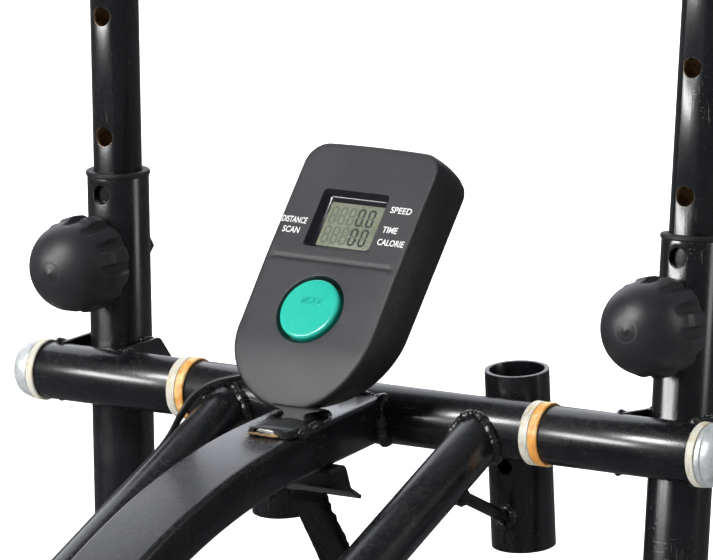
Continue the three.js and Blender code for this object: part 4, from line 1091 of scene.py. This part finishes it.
# ---------- foot rails ----------
def foot_rail(side):
    s = SIDES[side]
    body = side + "_pedal_rail"
    x = s * RAIL_X
    front = height_on(side + "_rail_pivot")
    pin = crank_pin(side)
    reach = Vector((0, pin.y - front.y, pin.z - front.z))
    length = reach.length
    tilt = -math.atan2(reach.z, -reach.y)
    pose = Matrix.Translation((0, front.y, front.z)) @ Matrix.Rotation(tilt, 4, "X")
    bar = sweep(rounded_box(20, 17, 4), route(x, (-18, 0), 180, [(length - 36,)]), rounded_box(18, 15, 2))
    piece(side + "_foot_rail_painted", bar, body, "frame_paint", PAINT, [side + "_foot_rail"], pose=pose,
          ease=0.5)
    front_eye = pipe((x - 20, 0, 0), (x + 20, 0, 0), 21, 8.4)
    piece(side + "_rail_front_eye", front_eye, body, "frame_paint", PAINT, pose=pose, ease=1)
    rear = turned((s * 150.4, -length, 0), (s, 0, 0), [(0, 19.5), (1, 21), (40.6, 21), (41.6, 19.5),
                                                       (41.8, 12),
                                                      (40, 11), (40, 1)], 72)
    piece(side + "_rail_rear_eye", rear, body, "frame_paint", PAINT, pose=pose, ease=0.4)
    for end, y in (("front", -18.5), ("rear", -length + 18.5)):
        ring = [Vector((x + a, y, b)) for a, b in rounded_box(20.4, 17.2, 4, 3)]
        piece(f"{side}_rail_{end}_weld", bead(ring, 2.5, closed=True, seed=83), body, "frame_paint", WELD,
              pose=pose,
              ease=0)
    foot_plate(side, body, pose)
    inner, outer = 151.7, 236.9
    shank = rod((s * inner, 0, 0), (s * outer, 0, 0), 8, 48)
    head = turned((s * outer, 0, 0), (s, 0, 0), [(0, 14.5), (1.6, 14.5), (1.7, 12.6), (7.2, 12.6),
                                                 (8, 11.4)], 6)
    nut = turned((s * inner, 0, 0), (-s, 0, 0), [(0, 14.5), (1.6, 14.5), (1.7, 12.6), (6.4, 12.6),
                                                 (7.2, 11), (7.3, 8),
                                                 (8, 7.4)], 6)
    for label, made in (("shank", shank), ("head", head), ("nut", nut)):
        cad = [side + "_pivot_bolt"] if label == "shank" else []
        piece(f"{side}_pivot_bolt_{label}", made, body, "zinc", ZINC, cad, pose=pose, ease=0.5)


def foot_plate(side, body, pose):
    """A moulded tray with a raised rim, open at the heel, and a tread of bars."""
    s = SIDES[side]
    x, base = s * FOOT_PLATE_X, 17.3
    rear, front = -548, -250
    middle, half_length, half = (rear + front) / 2, (front - rear) / 2, 68

    def outline(inset, z):
        return [Vector((x + a, middle + b, z))
                for a, b in rounded_box(half - inset, half_length - inset, 30 - inset, 10)]

    rings = [outline(4, base), outline(1, base + 1), outline(0, base + 4), outline(0, base + 24.6),
             outline(0.6, base + 25.7), outline(2.5, base + 26), outline(4.4, base + 25.7),
             outline(5, base + 24.6),
             outline(6.2, base + 11), outline(9, base + 9)]
    tray = loft(rings)
    heel = slab([(rear - 20, base + 12), (rear + 80, base + 12), (rear + 100, base + 60),
                 (rear - 20, base + 60)],
                x - 100, x + 100)
    piece(side + "_foot_plate_moulded", tray, body, "black_plastic", TREAD, [side + "_foot_plate"],
          cuts=[heel],
          pose=pose, ease=0.6)
    bars = []
    for k in range(12):
        y = rear + 34 + k * 21
        for lane in (-1, 0, 1):
            shape = soften([(-15, -3), (15, -3), (15, 3), (-15, 3)], 2.9, 4)
            low = [Vector((x + lane * 36 + p.x, y + p.y + 3 * abs(lane), base + 8.6)) for p in shape]
            mid = [v + Vector((0, 0, 1.9)) for v in low]
            centre = sum(low, Vector()) / len(low)
            top = [Vector((centre.x + (v.x - centre.x) * 0.93, centre.y + (v.y - centre.y) * 0.75,
                           base + 11.2))
                   for v in low]
            bars.append(loft([low, mid, top]))
    piece(side + "_foot_plate_tread", merged(*bars), body, "black_plastic", TREAD, pose=pose, ease=0)


# ---------- console ----------
# Its own frame: x across the face, y up the face, z out of the face, from the display's middle.
CONSOLE_TURN = (Matrix.Translation((0, -20, 126.7)) @ Matrix.Rotation(math.radians(-2.75), 4, "Z")
                @ Matrix.Rotation(math.radians(52.2), 4, "X"))
FACE_HALF, FACE_TOP, ROUND_CENTRE, FACE_CORNER, FACE_X = 56.3, 57, -74, 15, 1.3
CREASE = -29
BUTTON_AT = Vector((-1.4, -64.2, 0))
SPLIT = -27  # where the front shell meets the back one


def face_outline(inset, lift=0.0, flare=0.0):
    """The case's outline: an arched top with round corners over a half-round lower end. flare goes from the
    face's edge (0) to the widest part of the side walls (1), and lift raises the lower end."""
    half = 52.4 + (FACE_HALF - 52.4) * flare - inset
    top = 56.7 + (FACE_TOP - 56.7) * flare - inset
    middle = FACE_X * flare + 0.4 * (1 - flare)
    low = -78.4 + (ROUND_CENTRE + 78.4) * flare + lift
    corner = FACE_CORNER - inset
    side = [low + (top - corner - low) * i / 36 for i in range(1, 36)]
    right = [(half * math.cos(t), low + half * math.sin(t))
             for t in (math.radians(-90 + 3.75 * i) for i in range(25))]
    right += [(half, b) for b in side]
    right += [(half - corner + corner * math.cos(t), top - corner + corner * math.sin(t))
              for t in (math.radians(6 * i) for i in range(16))]
    right += [((half - corner) * (1 - i / 8), top) for i in range(1, 9)]
    left = [(-a, b) for a, b in right[-2:0:-1]]
    arch = 1.6
    return [(middle + a, b - arch * (a / FACE_HALF) ** 2 if b > top - corner else b) for a,
            b in right + left]


def face_height(a, b):
    """How far the face stands out: flat above the crease, then a plain that rolls off at the chin."""
    below = CREASE - b
    across = max(0.0, 1 - ((a - 0.4) / 51) ** 2)
    groove = -1.1 * math.exp(-((below / 1.2) ** 2)) * min(1, across * 5)
    roll = max(0.0, below - 58)
    chin = 0.0072 * roll**2 * (1 - 0.004 * roll)
    shoulder = 1.5 * (1 - across) ** 1.5 * min(1, max(0.0, below) / 45)
    return groove - chin - shoulder


def face_skin(made, rim):
    """Fills a ring of the face with triangles that follow face_height, finer along the crease."""
    outline = [Vector((v.co.x, v.co.y)) for v in rim]
    rows = sorted({round(-124 + 3.2 * i, 2) for i in range(56)}
                  | {CREASE + 0.45 * i for i in range(-9, 10)})
    inner = []
    for b in rows:
        for i in range(-18, 19):
            p = Vector((FACE_X + 3 * i + (1.5 if round(b * 10) % 2 else 0), b))
            if inside_outline(p, outline, 1.2):
                inner.append(p)
    count = len(outline)
    edges = [(i, (i + 1) % count) for i in range(count)]
    points, _, faces, *_ = geometry.delaunay_2d_cdt(outline + inner, edges, [], 1, 1e-4)
    verts = list(rim) + [made.verts.new((p.x, p.y, face_height(p.x, p.y))) for p in points[count:]]
    for face in faces:
        made.faces.new([verts[i] for i in face])


def inside_outline(p, outline, margin):
    hit = False
    for a, b in zip(outline, outline[1:] + outline[:1]):
        if (a.y > p.y) != (b.y > p.y) and p.x < a.x + (b.x - a.x) * (p.y - a.y) / (b.y - a.y):
            hit = not hit
        edge = b - a
        share = max(0, min(1, (p - a).dot(edge) / max(edge.length_squared, 1e-9)))
        if (p - a - edge * share).length < margin:
            return False
    return hit


def console_ring(inset, depth, lift=0.0, shape=1.0, flare=0.0):
    return [Vector((a, b, depth + shape * face_height(a, b))) for a, b in face_outline(inset, lift, flare)]


def console():
    rings = [console_ring(5.6, 0), console_ring(3.6, 0), console_ring(1.9, -0.1), console_ring(0.9, -0.4),
             console_ring(0.3, -1.0), console_ring(0.0, -1.9, flare=0.08),
             console_ring(0, -4.5, 0.5, 0.9, 0.34),
             console_ring(0, -8, 1.0, 0.7, 0.62), console_ring(0, -12, 2.2, 0.5, 0.84),
             console_ring(0, -17, 4.2, 0.25, 0.97), console_ring(0, -22, 6.4, 0.05, 1),
             console_ring(0.3, SPLIT + 0.6, 8.4, 0, 1), console_ring(0.8, SPLIT, 8.8, 0, 1),
             console_ring(3, SPLIT, 9, 0, 1), console_ring(3.4, -15.5, 8, 0, 0.9)]
    shell = bmesh.new()
    rows = [[shell.verts.new(p) for p in ring] for ring in rings]
    for a, b in zip(rows, rows[1:]):
        for i in range(len(a)):
            j = (i + 1) % len(a)
            shell.faces.new((a[i], a[j], b[j], b[i]))
    shell.faces.new(rows[-1])
    face_skin(shell, rows[0])
    bmesh.ops.recalc_face_normals(shell, faces=shell.faces)
    recess = loft([[Vector((p.x - 1.4, p.y + 1.7, z)) for p in soften(
        [(-w, -h), (w - 3, -h), (w, -h + 3), (w, h), (-w, h)], 3.2, 6)] for w, h, z in
        ((22.6, 17.6, -5.2), (23.6, 18.8, -4.4), (25.4, 21, -0.4), (26.2, 21.8, 0.3), (26.6, 22.2, 4))])
    window = loft([[Vector((p.x, p.y, z)) for p in soften(
        [(-21.2, -16), (18.8, -16), (21.2, -13.4), (21.2, 16), (-21.2, 16)], 1.2, 4)] for z in (-20, -3)])
    well = turned(BUTTON_AT + Vector((0, 0, -20)), (0, 0, 1), [(0, 21.9), (15.5, 21.9), (17.6, 22.5),
                                                               (19.2, 23.8),
                                                             (19.8, 24.4), (20.4, 24.7), (26, 24.8)], 128)

    def surface(centre, normal):
        if -8 < centre.z < -0.25 and abs(centre.x + 1.4) < 27 and abs(centre.y - 1.7) < 22.5:
            return 2
        if (centre - BUTTON_AT).xy.length < 25.2 and (normal.z < 0.97 or centre.z < -1):
            return 2
        # Steep faces of the side walls and the chin's underside take the darker copy of the case plastic, a
        # painted shade
        steep = normal.z < 0.62 if centre.y < -90 else normal.z < 0.82
        return 1 if steep and centre.z < -0.6 else 0

    piece("console_front_shell", shell, FRAME_BODY, "console_plastic", [CONSOLE, CONSOLE_SHADED_SIDE, RECESS],
          ["console_front_case"], cuts=[recess, window, well], ease=0.25, pose=CONSOLE_TURN, choose=surface)
    back = [console_ring(inset, depth, lift, 0, 1) for inset, depth, lift in (
        (1.2, SPLIT - 0.4, 9), (0.9, SPLIT - 0.9, 9.2), (1.2, -31, 11), (2.4, -33, 12.5), (4.6, -34, 14))]
    piece("console_back_shell", loft(back), FRAME_BODY, "console_plastic", CONSOLE_SHADED_SIDE,
          ["console_back_case"],
          pose=CONSOLE_TURN, ease=0)
    for i, (a, b) in enumerate(((-38, 34), (38, 34), (-30, -80), (32, -80))):
        spot = Vector((a, b, -34))
        head = turned(spot, (0, 0, -1), [(-1, 3.4), (0.2, 3.4), (0.7, 2.6), (0.7, 0.4)], 40)
        slot_cut = slab([(b - 0.5, -34.4), (b + 0.5, -34.4), (b + 0.5, -36), (b - 0.5, -36)], a - 2.4,
                        a + 2.4)
        piece(f"console_screw_{i + 1}", head, FRAME_BODY, "zinc", ZINC, cuts=[slot_cut], pose=CONSOLE_TURN,
              ease=0)
    button()
    display()
    labels()
    board = loft([[Vector((p.x, p.y, z)) for p in soften([(-40, -92), (40, -92), (40, 34), (-40, 34)], 3)]
                  for z in (-10.4, -8.9)])
    piece("circuit_board_lacquered", board, FRAME_BODY, "board", BOARD, ["circuit_board"],
          pose=CONSOLE_TURN, ease=0.2)


def button():
    profile = [(-7, 19), (-7, 21.2), (-0.5, 21.3), (0.5, 21.2), (1.1, 20.8), (1.6, 20.1), (1.85, 19.2),
               (1.9, 18),
               (1.84, 16), (1.7, 12), (1.6, 7), (1.55, 0.4)]
    cap = turned(BUTTON_AT, (0, 0, 1), profile, 128)
    piece("mode_button_moulded", cap, "button", "button", BUTTON, ["mode_button"], pose=CONSOLE_TURN,
          ease=0)
    word = lettering("MODE", 7.4, BUTTON_AT + Vector((0, 5.4, 1.56)), 16.5, 0.38)
    piece("button_word", word, "button", "button", BUTTON, pose=CONSOLE_TURN, ease=0)


def lettering(text, size, at, width, thickness=0.05):
    """A word, centred and scaled to a width."""
    curve = bpy.data.curves.new("word", "FONT")
    curve.body = text
    curve.size = size
    curve.align_x = "CENTER"
    curve.align_y = "CENTER"
    curve.extrude = thickness
    curve.resolution_u = 3
    curve.offset = 0.010 * size
    holder = bpy.data.objects.new("word", curve)
    bpy.context.scene.collection.objects.link(holder)
    bpy.context.view_layer.update()
    mesh = bpy.data.meshes.new_from_object(holder.evaluated_get(bpy.context.evaluated_depsgraph_get()))
    bpy.data.objects.remove(holder)
    bpy.data.curves.remove(curve)
    made = bmesh.new()
    made.from_mesh(mesh)
    bpy.data.meshes.remove(mesh)
    bmesh.ops.remove_doubles(made, verts=made.verts, dist=0.0005)
    reach = [v.co.x for v in made.verts]
    squeeze = width / (max(reach) - min(reach))
    return moved(made, Matrix.Translation(at) @ Matrix.Diagonal((squeeze, 1, 1, 1)))


def labels():
    words = {"distance": ("DISTANCE", -40.4, -2.6, 19.4), "scan": ("SCAN", -39.9, -9.9, 13.0),
             "speed": ("SPEED", 37.0, 12.4, 16.2), "time": ("TIME", 34.4, -2.2, 11.4),
             "calorie": ("CALORIE", 38.6, -11.2, 20.4)}
    for name, (text, a, b, width) in words.items():
        made = lettering(text, 6.3, Vector((a, b, 0.10)), width, 0.05)
        piece("label_" + name, made, FRAME_BODY, "console_plastic", LABEL, pose=CONSOLE_TURN, ease=0)


SEGMENTS = {"a": ((-1, 2), (1, 2)), "b": ((1, 2), (1, 0)), "c": ((1, 0), (1, -2)), "d": ((-1, -2), (1, -2)),
            "e": ((-1, 0), (-1, -2)), "f": ((-1, 2), (-1, 0)), "g": ((-1, 0), (1, 0))}


def segment_bar(a, b, width, z):
    a, b = Vector(a), Vector(b)
    way = (b - a).normalized()
    across = Vector((-way.y, way.x))
    a, b = a + way * width * 0.55, b - way * width * 0.55
    outline = [a - way * width / 2, a + across * width / 2, b + across * width / 2, b + way * width / 2,
               b - across * width / 2, a - across * width / 2]
    return loft([[Vector((p.x, p.y, z + d)) for p in outline] for d in (0, 0.05)])


def display():
    glass = loft([[Vector((p.x, p.y, z)) for p in soften(
        [(-21.6, -16.4), (21.6, -16.4), (21.6, 16.4), (-21.6, 16.4)], 0.8)] for z in (-8, -5.4)])
    piece("lcd_glass", glass, FRAME_BODY, "display", GLASS, ["lcd_panel"], pose=CONSOLE_TURN, ease=0.2)
    lit, ghost = [], []
    rows = ((6.8, "8880.0"), (-7.4, "8880:0"))
    for level, text in rows:
        spot = -16.4
        for index, mark in enumerate(text):
            if mark in ".:":
                for b in ((-5.6,) if mark == "." else (-2.4, 2.4)):
                    dot = [Vector((spot - 3.9 + p.x, level + b + p.y)) for p in soften(
                        [(-0.55, -0.55), (0.55, -0.55), (0.55, 0.55), (-0.55, 0.55)], 0.3)]
                    lit.append(loft([[Vector((p.x, p.y, -5.4 + d)) for p in dot] for d in (0, 0.05)]))
                spot += 0.8
                continue
            dark = index >= 3
            for name, (a, b) in SEGMENTS.items():
                start = (spot + a[0] * 2.1, level + a[1] * 2.85)
                stop = (spot + b[0] * 2.1, level + b[1] * 2.85)
                shown = dark and name != "g"
                (lit if shown else ghost).append(segment_bar(start, stop, 1.6, -5.4))
            spot += 7.0 if not dark else 7.2
    piece("lcd_digits_lit", merged(*lit), FRAME_BODY, "display", DIGIT, pose=CONSOLE_TURN, ease=0)
    piece("lcd_digits_faint", merged(*ghost), FRAME_BODY, "display", GHOST, pose=CONSOLE_TURN, ease=0)


def console_mount():
    """A rough bent plate on the beam with an open slot, and a flared plastic neck under the console."""
    slope = math.tan(math.radians(BEAM_DIP))
    top = 15.3

    def deck(y):
        return (y + CROSS_RADIUS) * slope + top

    centre = 9
    rings = []
    for y, half, rise, sag in ((-126.5, 14.5, 5.2, 0.2), (-123, 17, 5.8, 0.3), (-112, 17, 5.4, 0.9),
                               (-100, 16.4, 4.0, 0.5),
                               (-88, 15.6, 3.0, 0.2), (-76, 15, 2.4, 0)):
        base = deck(y)
        rings.append([Vector((centre + a, y + noise.noise(Vector((a, y, 3)) * 0.2) * 1.2,
                              base + b + sag * math.cos(a * 0.2)))
                      for a, b in ((-half, 0), (-half - 0.6, 1.2), (-half + 1, rise - 0.6),
                                   (-half * 0.5, rise),
                                   (0, rise + 0.3), (half * 0.5, rise), (half - 1, rise - 0.6),
                                   (half + 0.6, 1.2),
                                   (half, 0), (0, -0.1))])
    slot = loft([[Vector((centre - 3 + p.x, y, deck(y) + 2.9 + p.y)) for p in soften(
        [(-8.6, -1.5), (7.4, -1.5), (6.6, 1.5), (-8, 1.4)], 0.9)] for y in (-133, -114)])
    frame_painted("console_mount_plate_bent", loft(rings), ["console_mount_plate"], PAINT_FLAT, cuts=[slot],
                  ease=0.5)
    tab = [[Vector((centre - 3 + p.x, y, deck(y) + 2.4 + p.y + 0.4 * math.sin(p.x * 0.7))) for p in soften(
        [(-7.8, -0.9), (6.6, -0.9), (6, 0.9), (-7.2, 0.8)], 0.4)] for y in (-124.6, -122, -119, -114.6)]
    piece("mount_slot_tab", loft(tab), FRAME_BODY, "bare_steel", BARE, ease=0.2)
    lip = [Vector((centre - 3 + a, -127.2, deck(-127.2) + 0.7 + 0.2 * math.sin(a))) for a in range(-13, 13,
                                                                                                   2)]
    piece("mount_slot_lip", bead(lip, 0.9, seed=97, wobble=0.8), FRAME_BODY, "frame_paint", RUST, ease=0)
    seams = {"right": [(centre + 17, -120), (centre + 17.4, -108), (centre + 16.6, -94),
                       (centre + 15.4, -80)],
             "left": [(centre - 17, -118), (centre - 17, -100), (centre - 15.6, -84)],
             "front": [(centre - 14, -75.4), (centre, -74.6), (centre + 14, -75.4)]}
    for name, line in seams.items():
        path = [Vector((a, b, deck(b) + 0.9)) for a, b in line]
        frame_weld(f"mount_{name}_weld", bead(path, 2.6, seed=91 + len(name), wobble=1.1))
    rings = []
    for z, half, rear, front in ((11.6, 11, -99.5, -86), (13.6, 9.5, -98.6, -87), (15.4, 8.6, -97.6, -88),
                                 (17, 10.5, -96.8, -88), (18.4, 16, -95.6, -88), (19.6, 20, -94.4, -88)):
        rings.append([Vector((centre + p.x, p.y, z)) for p in soften(
            [(-half, rear), (half, rear), (half, front), (-half, front)], 2.6, 4)])
    piece("console_stem_moulded", loft(rings), FRAME_BODY, "black_plastic", BLACK, ["console_stem"],
          ease=0.3)


# ---------- hook, strap and sensor lead ----------
def strap_hook():
    path = route(0, (-84, -22.5), 4, [(14,), (-72, 5), (12,), (38, 6), (13,)])
    half = 28
    thick = [(half, -1.4), (half, 1.4), (-half, 1.4), (-half, -1.4)]
    plate = sweep([tuple(p) for p in soften(thick, 0.6, 2)], path)
    frame_painted("strap_hook_bent", plate, ["strap_hook"], PAINT_FLAT, ease=0.5)
    for s in (-1, 1):
        seam = [Vector((s * x, -78, -18.6)) for x in (8, 13, 18, 23)]
        frame_weld(f"hook_{'left' if s < 0 else 'right'}_weld", bead(seam, 2.2, seed=101))


def storage_strap():
    """Two layers of hook-and-loop webbing that hang down behind the hook, with a fuzzy pile."""
    legs = [(70,), (-35, 90), (150,)]
    coarse = route(0, (-66.6, -44), 270 + 35, legs)
    dense = []
    for (a, na), (b, nb) in zip(coarse, coarse[1:]):
        count = max(1, round((b - a).length / 3))
        dense += [(a.lerp(b, i / count), na.lerp(nb, i / count).normalized()) for i in range(count)]
    dense.append(coarse[-1])
    for layer, offset, half, thick, seed in (("front", 2.5, 12.2, 1.7, 5), ("back", -2.2, 11.4, 1.9, 9)):
        rings = []
        outline = soften([(half, -thick), (half, thick), (-half, thick), (-half, -thick)], 1.2, 3)
        fine = []
        for i, p in enumerate(outline):
            after = outline[(i + 1) % len(outline)]
            steps = max(1, int((after - p).length / 1.6))
            fine += [p.lerp(after, k / steps) for k in range(steps)]
        for p, n in dense:
            ring = []
            for q in fine:
                spot = p + X_AXIS * q.x + n * (q.y + offset)
                pile = noise.noise(spot * 0.8 + Vector((seed, 0, 0))) * 1.5
                wave = noise.noise(Vector((seed, spot.y * 0.03, spot.z * 0.03))) * 1.1
                ring.append(spot + n * (pile * math.copysign(1, q.y) * 0.7 + wave) + X_AXIS * pile)
            rings.append(ring)
        cad = ["storage_strap"] if layer == "front" else []
        obj = piece(f"storage_strap_{layer}", loft(rings), FRAME_BODY, "webbing", STRAP, cad, ease=0)
        smooth(obj, 75)


def sensor_lead():
    """A twin-core lead from the console, over the cross tube and down the left side tube."""
    offset = SIDE_RADIUS + 2.2 + 3
    stations = [station[0] for station in side_route(-SIDE_X - offset)]
    start, *bend = stations
    points = [Vector(p) for p in ((-30, -40.6, 41.3), (-33, -34, 35.6), (-52, -25.5, 26), (-75, -21.5, 19),
                                  (-99, -26.5, 12), (-114, -28, 1.5), (-122, -32, -12))]
    points += [start.lerp(bend[0], share) for share in (0.15, 0.3, 0.65)] + bend[:-1]
    points += [bend[-2].lerp(bend[-1], share) for share in (0.225, 0.45)]
    curve = []
    for i in range(len(points) - 1):
        p0, p1 = points[max(i - 1, 0)], points[i]
        p2, p3 = points[i + 1], points[min(i + 2, len(points) - 1)]
        steps = max(2, round((p2 - p1).length / 5))
        for k in range(steps):
            t = k / steps
            curve.append(0.5 * (2 * p1 + (p2 - p0) * t + (2 * p0 - 5 * p1 + 4 * p2 - p3) * t**2
                                + (3 * p1 - p0 - 3 * p2 + p3) * t**3))
    curve.append(points[-1])
    section = []
    for sign in (1, -1):
        for i in range(11):
            turn = math.radians(-78 + 156 * i / 10) + (0 if sign > 0 else math.pi)
            section.append((sign * 1.25 + 1.35 * math.cos(turn), 1.35 * math.sin(turn)))
    piece("sensor_lead_twin", along_path(section, curve), FRAME_BODY, frame_slot("sensor_lead"), JACKET,
          ["sensor_lead"], ease=0)


def speed_sensor():
    low, high = local_box("speed_sensor")
    centre = (low + high) / 2
    pose = Matrix.Translation(centre) @ Matrix.Rotation(SIDE_END_DIP, 4, "X")
    outline = soften([(-12.6, -8.4), (12.6, -8.4), (14, 0), (12.6, 8.4), (-12.6, 8.4), (-14, 0)], 3, 4)
    body = slab(outline, -8, 8)
    piece("speed_sensor_moulded", body, FRAME_BODY, "black_plastic", BLACK, ["speed_sensor"], ease=1.2,
          pose=pose)
    screw = turned((-8, 6, 0), (-1, 0, 0), [(-0.5, 3.2), (0.3, 3.2), (1.1, 2.4), (1.2, 0.4)], 40)
    piece("speed_sensor_screw", screw, FRAME_BODY, "zinc", ZINC, ease=0, pose=pose)


cross_tube()
main_beam()
base()
pivot_parts()
for side in SIDES:
    side_tube(side)
    front_socket(side)
    swing_arm(side)
    handlebar(side)
    adjust_knob(side)
    foot_rail(side)
flywheel()
crankset()
brake()
console()
console_mount()
strap_hook()
storage_strap()
sensor_lead()
speed_sensor()


# ---------- floor and light ----------
def floor():
    made = bmesh.new()
    reach = 60
    made.faces.new([made.verts.new((x, y, -0.0006)) for x, y in ((-reach, -reach), (reach, -reach),
                                                                 (reach, reach),
                                                                 (-reach, reach))])
    mesh = bpy.data.meshes.new("floor")
    made.to_mesh(mesh)
    made.free()
    obj = bpy.data.objects.new("floor", mesh)
    bpy.context.scene.collection.objects.link(obj)
    look = Look("floor_white", Roughness=0.9, Specular_IOR_Level=0.1)
    obj.data.materials.append(look.finish(look.blend(look.noise(3, 2), (0.86, 0.86, 0.87),
                                                     (0.88, 0.88, 0.89))))
    obj.visible_glossy = False


def soft_light(name, at, aim, size, power, colour=(1, 1, 1)):
    data = bpy.data.lights.new(name, "AREA")
    data.shape = "RECTANGLE"
    data.size, data.size_y = size
    data.energy = power
    data.color = colour
    obj = bpy.data.objects.new(name, data)
    obj.location = at
    obj.rotation_euler = (Vector(aim) - Vector(at)).to_track_quat("-Z", "Y").to_euler()
    obj.visible_camera = False
    bpy.context.scene.collection.objects.link(obj)
    return obj


floor()
MIDDLE = (0, 0.3, 0.75)
soft_light("key", (-1.65, -2.15, 1.50), MIDDLE, (1.5, 0.55), 62)
soft_light("high_key", (-0.75, -2.0, 2.65), MIDDLE, (0.8, 0.7), 66)
soft_light("side", (2.3, 0.95, 1.5), MIDDLE, (0.7, 1.3), 11)
soft_light("wall", (-3.3, 4.3, 4.1), (0, 0, 0.9), (6.5, 6), 170, (0.90, 0.92, 1))
soft_light("backdrop", (-3.2, 6.5, 4.5), (-3.2, 6.5, 0), (9, 9), 700).visible_glossy = False

sun = bpy.data.lights.new("overhead", "SUN")
sun.energy = 1.9
sun.angle = math.radians(110)
overhead = bpy.data.objects.new("overhead", sun)
overhead.rotation_euler = (math.radians(-12), math.radians(-8), 0)
overhead.visible_camera = False
overhead.visible_glossy = False
bpy.context.scene.collection.objects.link(overhead)

world = bpy.data.worlds.new("studio")
world.use_nodes = True
world.node_tree.nodes["Background"].inputs["Color"].default_value = (0.93, 0.95, 1, 1)
world.node_tree.nodes["Background"].inputs["Strength"].default_value = 0.13
bpy.context.scene.world = world
bpy.context.scene.view_settings.view_transform = "Standard"
